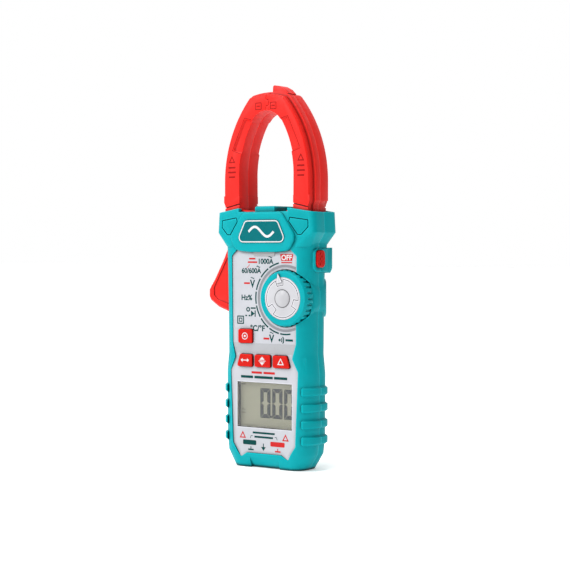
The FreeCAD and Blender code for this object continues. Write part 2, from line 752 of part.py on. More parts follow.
def fasteners():
    case = []
    for x, z in SCREWS:
        screw = rod(SCREW_RADIUS, x, z, -7.6, 7.4).fuse(rod(SCREW_HEAD, x, z, 7.0, 9.0)).removeSplitter()
        case.append(screw.cut(cross_recess(x, z, 1.6, 8.0, 10.0)))
    board = []
    for x, z in board_posts():
        board.append(rod(0.9, x, z, -8.0, -1.0).fuse(rod(1.9, x, z, BOARD_BACK, -0.4)).removeSplitter())
    pins = []
    for side in (1, -1):
        pins.append(rod(PIN_RADIUS, side * PIVOT_X, PIVOT_Z, -12.2, 14.0))
    write("case_screws", Part.makeCompound(case))
    write("board_screws", Part.makeCompound(board))
    write("pivot_pins", Part.makeCompound(pins))


# ---------------------------------------------------------------- sockets and battery


def jacks():
    housing = box(-HOUSING_HALF, HOUSING_HALF, -HOUSING_Y, HOUSING_Y, 0, HOUSING_TOP)
    lip_half = HOUSING_HALF + 1.6
    lip_y = HOUSING_Y + 1.0
    lip = box(-lip_half, lip_half, -lip_y, lip_y, CAVITY_FLOOR + 0.1, 7.0)
    housing = fuse([housing, lip])
    for side in (1, -1):
        x = side * JACK_X
        recess = post(JACK_RECESS, x, 0, -1, JACK_DEPTH).cut(post(JACK_SLEEVE, x, 0, -2, JACK_DEPTH + 1))
        housing = housing.cut(recess).cut(post(JACK_TUBE_OUT, x, 0, -1, HOUSING_TOP + 1))
    write("jack_housing", housing)
    for name, side in (("com_socket", -1), ("input_socket", 1)):
        x = side * JACK_X
        tube = post(JACK_TUBE_OUT, x, 0, 1.5, HOUSING_TOP + 1.2)
        tube = tube.cut(post(JACK_TUBE_BORE, x, 0, 0, HOUSING_TOP - 1.0))
        write(name, tube)


def battery():
    low, high = TRAY_Z
    tray = box(-TRAY_HALF + 0.2, TRAY_HALF - 0.2, -1.2, 10.4, low + 0.2, high - 0.2)
    tray = tray.cut(box(-TRAY_HALF + 1.4, TRAY_HALF - 1.4, -0.2, 12, low + 1.4, high - 1.4))
    tray = tray.cut(rod(POST_RADIUS + 0.4, 0, DOOR_SCREW_Z, 0, 12))
    write("battery_tray", tray)
    start = low + 3.2
    cells = []
    contacts = []
    for index in (-1, 0, 1):
        x = index * CELL_PITCH
        cell = post(CELL_RADIUS, x, CELL_Y, start, start + CELL_LENGTH - 0.9)
        button = post(1.9, x, CELL_Y, start + CELL_LENGTH - 0.9, start + CELL_LENGTH)
        cells.append(fuse([cell, button]))
        contacts.append(box(x - 3.6, x + 3.6, CELL_Y - 3.6, CELL_Y + 3.6, high - 1.4 - 0.5, high - 1.4))
        spring = Part.makeCone(4.0, 2.2, start - low - 1.4, Vector(x, CELL_Y, low + 1.4))
        spring = spring.cut(Part.makeCone(3.4, 1.6, start - low - 1.4, Vector(x, CELL_Y, low + 1.4)))
        contacts.append(spring)
    write("battery_cells", Part.makeCompound(cells))
    write("battery_contacts", Part.makeCompound(contacts))
    z0, z1 = DOOR_Z
    gap = DOOR_GAP
    door = box(-DOOR_HALF + gap, DOOR_HALF - gap, 10.9, BACK, z0 + gap, z1 - gap)
    door = door.cut(rod(SCREW_HEAD + 0.1, 0, DOOR_SCREW_Z, 11.7, 20))
    door = door.cut(rod(1.2, 0, DOOR_SCREW_Z, 8, 14))
    for index in range(5):
        z = z0 + 6 + 2.2 * index
        door = door.cut(box(-9, 9, BACK - 0.6, BACK + 1, z, z + 1.0))
    write("battery_door", door)
    screw = rod(1.2, 0, DOOR_SCREW_Z, 4.4, 11.9).fuse(rod(SCREW_HEAD, 0, DOOR_SCREW_Z, 11.7, 12.8))
    screw = screw.removeSplitter().cut(box(-2, 2, 12.2, 14, DOOR_SCREW_Z - 0.35, DOOR_SCREW_Z + 0.35))
    write("battery_door_screw", screw)


# ---------------------------------------------------------------- dial and keys


def dial():
    x, z = DIAL_X, DIAL_Z
    skirt = rod(KNOB_RADIUS, x, z, KNOB_SHOULDER, KNOB_BACK)
    rise = KNOB_SHOULDER - KNOB_FRONT
    grip = Part.makeCone(KNOB_RADIUS, KNOB_TOP_RADIUS, rise, Vector(x, KNOB_SHOULDER, z), Vector(0, -1, 0))
    knob = fuse([skirt, grip])
    knob = knob.makeFillet(0.7, [e for e in knob.Edges if e.BoundBox.YMax < KNOB_FRONT + 0.1])
    for index in range(KNOB_NOTCHES):
        angle = 2 * math.pi * index / KNOB_NOTCHES
        nx = x + (KNOB_RADIUS + 0.2) * math.cos(angle)
        nz = z + (KNOB_RADIUS + 0.2) * math.sin(angle)
        knob = knob.cut(rod(KNOB_NOTCH_RADIUS, nx, nz, -13.2, KNOB_BACK))
    knob = knob.cut(rod(DISC_RADIUS + 0.1, x, z, -20, DISC_SEAT))
    knob = knob.cut(rod(SHAFT_RADIUS, x, z, -20, 0)).cut(dial_pointer())
    write("dial_knob", knob)
    disc = rod(DISC_RADIUS, x, z, DISC_FRONT, DISC_SEAT)
    disc = disc.makeFillet(0.5, [e for e in disc.Edges if e.BoundBox.YMax < DISC_FRONT + 0.1])
    disc = disc.cut(disc_groove()).cut(dial_pointer())
    write("dial_disc", disc.cut(rod(HUB_RADIUS, x, z, -20, DISC_FRONT + 0.8)))
    write("dial_pointer", dial_pointer())
    write("dial_hub", dial_hub())
    rotor = rod(ROTOR_RADIUS, x, z, FLOOR_BACK + 0.25, ROTOR_BACK).fuse(
        rod(SHAFT_RADIUS, x, z, DISC_SEAT, FLOOR_BACK + 0.25)
    )
    write("dial_rotor", rotor.removeSplitter())
    wipers = []
    for index in range(3):
        leaf = box(x + 4.5, x + 9.5, ROTOR_BACK, ROTOR_BACK + 0.8, z - 0.8, z + 0.8)
        leaf.rotate(Vector(x, 0, z), Vector(0, 1, 0), 120 * index)
        wipers.append(leaf)
    write("dial_wipers", Part.makeCompound(wipers))
    detent = ring(13.4, ROTOR_RADIUS + 0.4, x, z, FLOOR_BACK, ROTOR_BACK)
    for index in range(DETENTS):
        angle = math.radians(90 + DETENT_STEP * index)
        detent = detent.cut(
            rod(0.8, x + 11.3 * math.cos(angle), z + 11.3 * math.sin(angle), FLOOR_BACK - 1, ROTOR_BACK + 1)
        )
    write("detent_ring", detent.common(box(-20, 29.2, -10, 0, 80, 130)))


def lobed_plate(grow, depth):
    """A round plate with three notches in its rim, the first under the pointer."""
    x, z = DIAL_X, DIAL_Z
    plate_body = rod(LOBE_RADIUS + grow, x, z, DISC_FRONT - 1, depth)
    foot = z + LOBE_FOOT + grow
    half = LOBE_NOTCH - grow
    for index in range(3):
        outline = [(x - half, foot), (x - half - 1.6, z + 16), (x + half + 1.6, z + 16), (x + half, foot)]
        notch = plate(outline, -20, 0)
        notch.rotate(Vector(x, 0, z), Vector(0, 1, 0), -POINTER_ANGLE + 120 * index)
        plate_body = plate_body.cut(notch)
    return plate_body


def disc_groove():
    """The fine groove that follows the three-lobed outline on the disc."""
    depth = DISC_FRONT + GROOVE_DEPTH
    return lobed_plate(GROOVE_WIDTH, depth).cut(lobed_plate(0, depth))


def dial_pointer():
    """A ridge from inside the disc's first notch on to the knob's rim."""
    x, z = DIAL_X, DIAL_Z
    start, end = POINTER_R
    outline = [(x - POINTER_HALF, z + start), (x, z + end), (x + POINTER_HALF, z + start)]
    pointer = plate(outline, DISC_FRONT - 0.7, DISC_FRONT + 0.5)
    pointer.rotate(Vector(x, 0, z), Vector(0, 1, 0), -POINTER_ANGLE)
    return pointer


def dial_hub():
    """A domed cap on the end of the shaft."""
    sphere_radius = (HUB_RADIUS**2 + HUB_RISE**2) / (2 * HUB_RISE)
    rim = DISC_FRONT - 0.2
    ball = Part.makeSphere(sphere_radius, Vector(DIAL_X, rim - HUB_RISE + sphere_radius, DIAL_Z))
    return rod(HUB_RADIUS - 0.05, DIAL_X, DIAL_Z, -20, DISC_FRONT + 0.8).common(
        fuse([ball, rod(HUB_RADIUS, DIAL_X, DIAL_Z, rim, 0)])
    )


def keys():
    for name, corners in KEYS.items():
        cap = rounded_plate(corners, KEY_TOP, CAVITY_FRONT + 0.3)
        cap = cap.makeFillet(0.55, [e for e in cap.Edges if e.BoundBox.YMax < KEY_TOP + 0.1])
        flange = rounded_plate(corners, CAVITY_FRONT + 0.3, CAVITY_FRONT + 1.1, KEY_FLANGE)
        x = sum(corner[0] for corner in corners) / len(corners)
        z = sum(corner[1] for corner in corners) / len(corners)
        write(name, fuse([cap, flange, rod(2.2, x, z, CAVITY_FRONT + 1.1, KEY_BACK)]))
    mat = [box(-20.8, 20.8, BOARD_FRONT - 0.5, BOARD_FRONT, 62.6, 89.0)]
    for corners in KEYS.values():
        x = sum(corner[0] for corner in corners) / len(corners)
        z = sum(corner[1] for corner in corners) / len(corners)
        mat.append(Part.makeCone(2.6, 1.8, 0.6, Vector(x, BOARD_FRONT - 0.5, z), Vector(0, -1, 0)))
    mat = fuse(mat).cut(box(5.0, 40, -6, 0, 72.5, 100))
    write("keypad_mat", mat)
    low, high = SIDE_KEY_Z
    front, rear = SIDE_KEY_Y
    cap = box(29.9, SIDE_KEY_OUT, front, rear, low, high)
    cap = cap.makeFillet(SIDE_KEY_CORNER, [e for e in cap.Edges if e.BoundBox.XLength > 4])
    cap = cap.makeFillet(0.7, [e for e in cap.Edges if e.BoundBox.XMin > SIDE_KEY_OUT - 0.1])
    flange = box(29.1, 30.0, front - 0.9, rear + 0.9, low - 0.9, high + 0.9)
    middle = (low + high) / 2
    stem = Part.makeCylinder(1.4, 1.6, Vector(28.0, BOARD_FRONT + 3.2, middle), Vector(1, 0, 0))
    dots = []
    for index in range(-2, 3):
        across = DOT_SPREAD if index % 2 else -DOT_SPREAD
        place = Vector(SIDE_KEY_OUT - 0.2, SIDE_KEY_Y_MIDDLE + across, middle + DOT_PITCH * index)
        dots.append(Part.makeCylinder(DOT_RADIUS, 0.5, place, Vector(1, 0, 0)))
    write("side_button", fuse([cap, flange, stem] + dots))
    switch = box(22.0, 26.6, BOARD_BACK, 2.6, middle - 3, middle + 3)
    nib = Part.makeCylinder(1.2, 0.4, Vector(26.6, BOARD_FRONT + 3.2, middle), Vector(1, 0, 0))
    write("side_switch", fuse([switch, nib]))


# ---------------------------------------------------------------- jaws


def jaw_outside():
    """Closed outline of both jaws together, in the plane y = 0; its arcs run smoothly into each other."""
    side_centre = Vector(JAW_SIDE - SIDE_ARC, 0, SIDE_ARC_Z)
    top_centre = Vector(0, 0, JAW_TOP - TOP_ARC)
    side_reach = SIDE_ARC - TIP_CORNER
    top_reach = TOP_ARC - TIP_CORNER
    between = top_centre - side_centre
    span = between.Length
    between.normalize()
    along = (side_reach**2 - top_reach**2 + span**2) / (2 * span)
    across = Vector(-between.z, 0, between.x)
    corner_centre = side_centre + between * along + across * math.sqrt(side_reach**2 - along**2)
    side_end = side_centre + (corner_centre - side_centre) * (SIDE_ARC / side_reach)
    top_start = top_centre + (corner_centre - top_centre) * (TOP_ARC / top_reach)
    halfway = (side_end + top_start - corner_centre * 2).normalize() * TIP_CORNER
    turn = math.atan2(side_end.z - side_centre.z, side_end.x - side_centre.x) / 2
    side_middle = side_centre + Vector(math.cos(turn), 0, math.sin(turn)) * SIDE_ARC
    foot = Vector(JAW_SIDE, 0, JAW_FOOT)
    side_start = Vector(JAW_SIDE, 0, SIDE_ARC_Z)
    half = [foot, side_start, side_middle, side_end, corner_centre + halfway, top_start]
    left = [Vector(-p.x, 0, p.z) for p in half]
    edges = [
        Part.LineSegment(half[0], half[1]).toShape(),
        Part.Arc(half[1], half[2], half[3]).toShape(),
        Part.Arc(half[3], half[4], half[5]).toShape(),
        Part.Arc(half[5], Vector(0, 0, JAW_TOP), left[5]).toShape(),
        Part.Arc(left[5], left[4], left[3]).toShape(),
        Part.Arc(left[3], left[2], left[1]).toShape(),
        Part.LineSegment(left[1], left[0]).toShape(),
        Part.LineSegment(left[0], half[0]).toShape(),
    ]
    return Part.Wire(edges)


def jaw_inside():
    """Closed outline of the window between the jaws, in the plane y = 0."""
    half = [Vector(20.5, 0, 140), Vector(20.8, 0, 183), Vector(10.6, 0, 218.8)]
    left = [Vector(-p.x, 0, p.z) for p in half]
    edges = [
        Part.LineSegment(half[0], half[1]).toShape(),
        Part.Arc(half[1], Vector(17.8, 0, 203.5), half[2]).toShape(),
        Part.Arc(half[2], Vector(0, 0, 224.2), left[2]).toShape(),
        Part.Arc(left[2], Vector(-17.8, 0, 203.5), left[1]).toShape(),
        Part.LineSegment(left[1], left[0]).toShape(),
        Part.LineSegment(left[0], half[0]).toShape(),
    ]
    return Part.Wire(edges)


def band(outer_grow, inner_grow, y0, y1, foot, split=SPLIT_GAP):
    """The right half of the ring between the two outlines, each moved by its own offset."""
    outside = jaw_outside()
    if outer_grow:
        outside = outside.makeOffset2D(outer_grow)
    inside = jaw_inside()
    if inner_grow:
        inside = inside.makeOffset2D(inner_grow)
    solid = extrude(outside, y1 - y0).cut(extrude(inside, y1 - y0))
    solid.translate(Vector(0, y0, 0))
    return solid.common(box(split, 60, y0 - 1, y1 + 1, foot, 260))


def tip_step(y0, y1, gap):
    """The tongue that one jaw tip puts into the other, just past the centre line."""
    low, high = TIP_STEP_Z
    reach = TIP_STEP + gap
    points = [(-1.0, low - gap), (-1.0, high + gap), (reach, high + gap - 1.0), (reach, low - gap + 1.0)]
    return plate(points, y0, y1)


def jaw_root():
    """The foot of the right jaw, inside the head: a wide middle, narrower faces and the bored hub."""
    middle = plate(ROOT_MIDDLE, -FLANGE_HALF, FLANGE_HALF)
    faces = plate(ROOT_FACES, -JAW_HALF, JAW_HALF)
    return fuse([middle, faces, rod(HUB_OUT, PIVOT_X, PIVOT_Z, -JAW_HALF, JAW_HALF)])


def bevelled_ring():
    """The right half of the jaws' full thickness, bevelled where the flat faces meet the outer side."""
    straight = JAW_HALF - FACE_CHAMFER
    stations = []
    for y, grow in ((-JAW_HALF, -FACE_CHAMFER), (-straight, 0), (straight, 0), (JAW_HALF, -FACE_CHAMFER)):
        wire = jaw_outside()
        if grow:
            wire = wire.makeOffset2D(grow)
        wire.translate(Vector(0, y, 0))
        stations.append(wire)
    window = extrude(jaw_inside(), 4 * JAW_HALF)
    window.translate(Vector(0, -2 * JAW_HALF, 0))
    ring_solid = Part.makeLoft(stations, True, True).cut(window)
    return ring_solid.common(box(SPLIT_GAP, 60, -JAW_HALF - 1, JAW_HALF + 1, FACE_FOOT, 260))


def sunk_pad(face):
    """The sunk pad of a jaw's front (-1) or rear (1) face. Its walls slope in towards the floor."""
    stations = []
    for depth in (-RECESS_DEPTH / 2, RECESS_DEPTH):
        wire = rounded_wire(RECESS, face * (JAW_HALF - depth))
        stations.append(wire.makeOffset2D(-depth * RECESS_SLOPE))
    return Part.makeLoft(stations, True, True)


def jaw_shell(hooked, tongue):
    """Front half shell of the right jaw, and the rear one, which is its mirror image."""
    flange = band(FLANGE_PROUD, 0, -FLANGE_HALF, FLANGE_REAR, FLANGE_FOOT)
    parts = [flange, bevelled_ring(), jaw_root()]
    if hooked:
        parts.append(plate(HOOK, -FLANGE_HALF, HOOK_REAR))
    jaw = fuse(parts)
    if tongue:
        tongue_room = band(0, 0, -JAW_HALF, JAW_HALF, FACE_FOOT, -TIP_STEP)
        tongue_part = mirror_x(tip_step(-JAW_HALF, JAW_HALF, 0)).common(tongue_room)
        jaw = fuse([jaw, tongue_part.cut(box(1, 9, -20, 20, 200, 250))])
    else:
        jaw = jaw.cut(tip_step(-JAW_HALF - 1, JAW_HALF + 1, 2 * SPLIT_GAP))
    jaw = jaw.cut(band(-SHELL_OUT, SHELL_IN, -JAW_HALF + SHELL_SIDE, JAW_HALF - SHELL_SIDE, ROOM_FOOT, -9))
    jaw = jaw.cut(lever_outline())
    jaw = jaw.cut(rod(PIN_RADIUS + PIN_GAP, PIVOT_X, PIVOT_Z, -20, 20))
    groove = [(20.0, 166.4), (33.0, 163.6), (33.0, 163.6 - COLLAR_GROOVE), (20.0, 166.4 - COLLAR_GROOVE)]
    for face in (-1, 1):
        depth = sorted((face * (JAW_HALF - RECESS_DEPTH), face * (JAW_HALF + 1)))
        jaw = jaw.cut(plate(groove, *depth)).cut(sunk_pad(face))
    front = jaw.common(box(-10, 60, -20, 0, 100, 260))
    rear = jaw.common(box(-10, 60, 0, 20, 100, 260))
    return front, rear


def lever_outline():
    """The right lever: a hub, an arm and a toothed sector that meets the other one at x = 0."""
    hub = rod(LEVER_HUB, PIVOT_X, PIVOT_Z, -LEVER_HALF, LEVER_HALF)
    pitch = GEAR_MODULE * GEAR_TEETH / 2
    reach = pitch - 1.3 * GEAR_MODULE
    low = math.radians(180 + 23)
    high = math.radians(180 - 4)
    arm = [
        (PIVOT_X, PIVOT_Z + 3.2),
        (PIVOT_X + reach * math.cos(high), PIVOT_Z + reach * math.sin(high)),
        (PIVOT_X + reach * math.cos((low + high) / 2), PIVOT_Z + reach * math.sin((low + high) / 2)),
        (PIVOT_X + reach * math.cos(low), PIVOT_Z + reach * math.sin(low)),
        (PIVOT_X, PIVOT_Z - LEVER_HUB + 0.4),
    ]
    return fuse([hub, plate(arm, -LEVER_HALF, LEVER_HALF)])


def lever(first_tooth):
    """The lever with its teeth. first_tooth sets where the first tooth stands, in tooth pitches."""
    solid = lever_outline()
    pitch = GEAR_MODULE * GEAR_TEETH / 2
    step = 2 * math.pi / GEAR_TEETH
    root = pitch - 3.0 * GEAR_MODULE
    tip = pitch + 0.8 * GEAR_MODULE
    wide = step * (0.34 - TOOTH_THIN / 4)
    slim = step * (0.14 - TOOTH_THIN / 8)
    teeth = []
    for index in range(3):
        centre = math.pi + step * (first_tooth + index)
        corners = []
        for radius, angle in ((root, -wide), (tip, -slim), (tip, slim), (root, wide)):
            corners.append(
                (PIVOT_X + radius * math.cos(centre + angle), PIVOT_Z + radius * math.sin(centre + angle))
            )
        teeth.append(plate(corners, -LEVER_HALF, LEVER_HALF))
    return fuse([solid] + teeth).cut(rod(PIN_RADIUS + PIN_GAP, PIVOT_X, PIVOT_Z, -20, 20))


def trigger():
    """The finger trigger, with chamfered faces, serrations and a socket for the lever's arm."""
    solid = plate(TRIGGER, -TRIGGER_HALF, TRIGGER_HALF)
    outside = [e for e in solid.Edges if e.BoundBox.YLength < 0.1 and e.BoundBox.XMax < -30.0]
    solid = solid.makeChamfer(TRIGGER_CHAMFER, outside)
    top = Vector(-36.0, 0, 132.8)
    bottom = Vector(-46.6, 0, 114.2)
    for index in range(TRIGGER_SERRATIONS):
        along = (index + 0.5) / TRIGGER_SERRATIONS
        place = top * (1 - along) + bottom * along
        groove = rod(SERRATION_RADIUS, place.x - 0.35, place.z + 0.2, -TRIGGER_HALF - 1, TRIGGER_HALF + 1)
        solid = solid.cut(groove)
    for face in (-1, 1):
        depth = sorted((face * (TRIGGER_HALF - TRIGGER_PANEL_DEPTH), face * (TRIGGER_HALF + 1)))
        solid = solid.cut(rounded_plate(TRIGGER_PANEL, *depth))
    return solid.cut(trigger_arm())


def trigger_arm():
    """The arm of the left lever that carries the trigger."""
    points = [(-22.0, 147.0), (-28.4, 150.0), (-29.0, 139.0), (-36.5, 118.0), (-35.0, 106.0), (-30.4, 106.0)]
    points += [(-29.4, 120.0), (-25.6, 134.0), (-20.0, 145.8)]
    return plate(points, -LEVER_HALF + 0.5, LEVER_HALF - 0.5)


def closing_spring():
    """A torsion spring round the left pin, behind the lever."""
    turns = 3
    pitch = 1.3
    radius = 5.0
    helix = Part.makeHelix(pitch, pitch * turns, radius)
    profile = Part.Wire(Part.makeCircle(0.45, Vector(radius, 0, 0), Vector(0, 1, 0)))
    coil = Part.Wire(helix.Edges).makePipeShell([profile], True, True)
    coil.rotate(Vector(0, 0, 0), Vector(1, 0, 0), -90)
    coil.translate(Vector(-PIVOT_X, LEVER_HALF + 0.55, PIVOT_Z))
    return coil


def jaws():
    room = ring(6.4, 0.1, -PIVOT_X, PIVOT_Z, LEVER_HALF, 8.6)
    for side, name in ((1, "right"), (-1, "left")):
        right = side > 0
        front, rear = jaw_shell(hooked=right, tongue=not right)
        core = band(-CORE_OUT, CORE_IN, -CORE_HALF, CORE_HALF, ROOM_FOOT + 0.6, 0.3)
        if right:
            core = core.cut(tip_step(-9, 9, 2 * SPLIT_GAP))
        coil = band(-COIL_OUT, COIL_IN, -COIL_HALF, COIL_HALF, COIL_Z[0]).common(
            box(0, 60, -20, 20, COIL_Z[0], COIL_Z[1])
        )
        coil = coil.cut(band(-CORE_OUT, CORE_IN, -CORE_HALF, CORE_HALF, ROOM_FOOT))
        arm = lever(-0.5 if right else 0.0)
        screws = []
        for x, z in JAW_SCREWS:
            shank = rod(JAW_SCREW_RADIUS, x, z, -6.0, 8.6)
            screw = shank.fuse(rod(JAW_SCREW_HEAD, x, z, 8.2, 9.6)).removeSplitter()
            screws.append(screw.cut(cross_recess(x, z, 1.1, 8.9, 10.0)))
        pieces = {"core": core, "coil": coil, "lever": arm}
        for x, z in JAW_SCREWS:
            front = front.fuse(rod(2.2, x, z, -9.0, 0)).removeSplitter()
            front = front.cut(rod(JAW_SCREW_RADIUS, x, z, -6.0, 1))
            rear = rear.fuse(rod(2.6, x, z, 0, 9.8)).removeSplitter()
            rear = rear.cut(rod(JAW_SCREW_RADIUS + 0.1, x, z, -1, 12))
            rear = rear.cut(rod(JAW_SCREW_HEAD + 0.1, x, z, 8.2, 12))
            for key in ("core", "coil"):
                pieces[key] = pieces[key].cut(rod(3.0, x, z, -20, 20))
        if side < 0:
            front, rear = mirror_x(front), mirror_x(rear).cut(room)
            pieces = {key: mirror_x(shape) for key, shape in pieces.items()}
            screws = [mirror_x(one) for one in screws]
            pieces["lever"] = fuse([pieces["lever"], trigger_arm()])
            front = front.cut(trigger_arm())
            rear = rear.cut(trigger_arm())
        write(name + "_jaw_front_shell", front)
        write(name + "_jaw_rear_shell", rear)
        write(name + "_jaw_screws", Part.makeCompound(screws))
        for key, shape in pieces.items():
            write(name + "_" + key, shape)
    write("trigger", trigger())
    write("closing_spring", closing_spring())


def build():
    os.makedirs(OUT, exist_ok=True)
    front, rear = covers()
    write("front_cover", front)
    write("rear_cover", rear)
    write("face_panel", face_panel())
    write("badge_plate", badge_plate())
    write("indicator_window", indicator_window())
    display()
    write("main_board", main_board())
    chips, resistors, buzzer, led = board_parts()
    write("board_chips", Part.makeCompound(chips))
    write("input_resistors", Part.makeCompound(resistors))
    write("buzzer", buzzer)
    write("indicator_led", led)
    fasteners()
    jacks()
    battery()
    dial()
    keys()
    jaws()


build()
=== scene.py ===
import json
import math

import bmesh
import bpy
from mathutils import Matrix, Vector


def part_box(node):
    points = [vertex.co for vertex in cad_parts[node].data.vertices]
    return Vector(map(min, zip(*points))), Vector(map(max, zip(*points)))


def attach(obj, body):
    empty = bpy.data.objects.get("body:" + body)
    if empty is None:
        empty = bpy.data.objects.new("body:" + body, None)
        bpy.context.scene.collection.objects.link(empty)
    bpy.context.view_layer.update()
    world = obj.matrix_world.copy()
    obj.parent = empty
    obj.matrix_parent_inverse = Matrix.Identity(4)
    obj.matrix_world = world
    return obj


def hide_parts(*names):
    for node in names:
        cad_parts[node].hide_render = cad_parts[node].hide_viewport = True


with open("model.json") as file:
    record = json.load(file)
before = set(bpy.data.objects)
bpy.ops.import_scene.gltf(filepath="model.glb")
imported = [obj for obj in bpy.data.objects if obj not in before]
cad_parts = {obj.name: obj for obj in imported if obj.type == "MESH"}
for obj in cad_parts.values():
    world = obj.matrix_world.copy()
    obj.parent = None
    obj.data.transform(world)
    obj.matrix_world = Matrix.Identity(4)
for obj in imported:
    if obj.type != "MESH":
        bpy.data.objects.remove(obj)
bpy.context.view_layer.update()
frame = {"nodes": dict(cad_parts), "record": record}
nodes = frame["nodes"]
subparts = frame["record"]["subparts"]

MM = 0.001


# ---------------------------------------------------------------- materials

# Colours are in linear light
TEAL = (0.0, 0.320, 0.355)
RED = (0.72, 0.013, 0.008)
KEY_RED = (0.52, 0.010, 0.006)
PANEL = (0.46, 0.47, 0.505)
LENS = (0.98, 0.99, 0.98)
WHITE = (1.0, 1.0, 1.0)
# A plastic's colour drifts down to this much of itself, and a metal's to this much
PLASTIC_DARKEST = 0.88
METAL_DARKEST = 0.8

# Each noise: features per metre, levels of detail, and how much each finer level adds
DRIFT = (45.0, 9.0, 0.72)
GLOSS = (120.0, 5.0, 0.55)
GRAIN = (2600.0, 2.0, 0.55)
BRUSHING = (900.0, 6.0, 0.55)
SCRATCHES = (1800.0, 3.0, 0.55)
SMEARS = (60.0, 3.0, 0.55)
FLOOR_DRIFT = (3.0, 3.0, 0.55)
# What a noise goes from and to once its rare highs and lows are left out
NOISE_LOW = 0.3
NOISE_HIGH = 0.7
GRAIN_STRENGTH = 0.35
SCRATCH_DEPTH = 0.01 * MM
SCRATCH_STRENGTH = 0.3
LENS_INDEX = 1.45
LENS_ROUGH = (0.02, 0.04)

# Painted shade in corners and a painted highlight along outer edges: how near a wall each starts, whether
# that is measured inside the solid, how open a point is at its full effect, from 1 for open to 0 for shut in,
# and what the colour is then multiplied by
PAINTED_CORNER_SHADE = (2.4 * MM, False, 0.42, 0.12)
PAINTED_EDGE_HIGHLIGHT = (0.8 * MM, True, 0.55, 1.45)
OPEN_SURFACE = 0.95
WALL_SAMPLES = 8

# Each plastic's slot, its colour, and what sets its finish apart from moulded()'s
# Plastics given this get painted shade in their corners and a painted highlight along their outer edges
PAINTED_SHADE_AND_HIGHLIGHT = {"painted_shade_and_highlight": True}
PLASTICS = (
    ("case_teal", TEAL, PAINTED_SHADE_AND_HIGHLIGHT),
    ("jaw_red", RED, {"specular": 0.18, **PAINTED_SHADE_AND_HIGHLIGHT}),
    ("key_red", KEY_RED, {"rough": (0.28, 0.36), **PAINTED_SHADE_AND_HIGHLIGHT}),
    ("panel_grey", PANEL, {"depth": 0.01, **PAINTED_SHADE_AND_HIGHLIGHT}),
    ("badge_dark", (0.0, 0.125, 0.14), {"rough": (0.24, 0.32), "depth": 0.006}),
    ("indicator_grey", (0.36, 0.36, 0.37), {"rough": (0.22, 0.30)}),
    ("display_olive", (0.37, 0.365, 0.265), {"rough": (0.20, 0.30), "depth": 0.004}),
    ("frame_black", (0.012, 0.012, 0.013), {}),
    ("backlight_white", (0.60, 0.60, 0.58), {}),
    ("strip_grey", (0.12, 0.12, 0.13), {"rough": (0.60, 0.70)}),
    ("board_green", (0.01, 0.12, 0.04), {"rough": (0.25, 0.40)}),
    ("chip_black", (0.012, 0.012, 0.013), {"rough": (0.45, 0.60)}),
    ("resistor_blue", (0.03, 0.08, 0.20), {}),
    ("buzzer_black", (0.014, 0.014, 0.016), {}),
    ("led_clear", (0.60, 0.05, 0.04), {"rough": (0.12, 0.20)}),
    ("housing_grey", (0.020, 0.022, 0.024), {}),
    ("cell_wrap", (0.06, 0.06, 0.07), {"rough": (0.20, 0.30)}),
    ("mat_rubber", (0.36, 0.36, 0.38), {"rough": (0.55, 0.70)}),
    ("lever_black", (0.02, 0.02, 0.02), {}),
    ("dial_white", (0.48, 0.48, 0.505), {"rough": (0.26, 0.34), "depth": 0.006, **PAINTED_SHADE_AND_HIGHLIGHT}),
    ("hub_grey", (0.44, 0.44, 0.46), {"rough": (0.18, 0.26), "depth": 0.004}),
)
# Each metal's slot, colour, and least and most roughness
METALS = (
    ("steel", (0.50, 0.50, 0.52), (0.22, 0.38)),
    ("socket_brass", (0.60, 0.42, 0.18), (0.22, 0.38)),
    ("core_iron", (0.20, 0.20, 0.21), (0.40, 0.55)),
    ("coil_copper", (0.60, 0.26, 0.13), (0.22, 0.38)),
)
# What is printed: green, red, grey, band and white on the panel, keys and badge, and ink and faint on the
# display. Mark on the jaws is painted shade for engraved lines and sunk pad borders, and outline on the dial
# is painted shade in the gap round the hub
INKS = (
    ("green", (0.0, 0.050, 0.048)),
    ("red", (0.50, 0.020, 0.020)),
    ("grey", (0.235, 0.235, 0.255)),
    ("band", (0.37, 0.38, 0.40)),
    ("white", (0.62, 0.62, 0.63)),
    ("mark", (0.30, 0.006, 0.005)),
    ("outline", (0.12, 0.12, 0.125)),
    ("ink", (0.014, 0.024, 0.028)),
    ("faint", (0.14, 0.145, 0.115)),
)
INK_FINISH = {"rough": (0.40, 0.50), "depth": 0.004}


def new_material(name):
    material = bpy.data.materials.new(name)
    material.use_nodes = True
    tree = material.node_tree
    shader = tree.nodes["Principled BSDF"]
    return material, tree, shader


def object_noise(tree, scale, detail, roughness):
    place = tree.nodes.new("ShaderNodeTexCoord")
    noise = tree.nodes.new("ShaderNodeTexNoise")
    noise.inputs["Scale"].default_value = scale
    noise.inputs["Detail"].default_value = detail
    noise.inputs["Roughness"].default_value = roughness
    tree.links.new(place.outputs["Object"], noise.inputs["Vector"])
    return noise.outputs["Fac"]


def colour_between(tree, factor, low, high):
    ramp = tree.nodes.new("ShaderNodeValToRGB")
    first, last = ramp.color_ramp.elements
    first.position = NOISE_LOW
    last.position = NOISE_HIGH
    first.color = (*low, 1)
    last.color = (*high, 1)
    tree.links.new(factor, ramp.inputs["Fac"])
    return ramp.outputs["Color"]


def ranged(tree, value, start, end, low, high):
    """The value mapped so that start gives low and end gives high, and held between them."""
    span = tree.nodes.new("ShaderNodeMapRange")
    for socket, number in (("From Min", start), ("From Max", end), ("To Min", low), ("To Max", high)):
        span.inputs[socket].default_value = number
    tree.links.new(value, span.inputs["Value"])
    return span


def value_between(tree, factor, low, high):
    return ranged(tree, factor, NOISE_LOW, NOISE_HIGH, low, high).outputs["Result"]


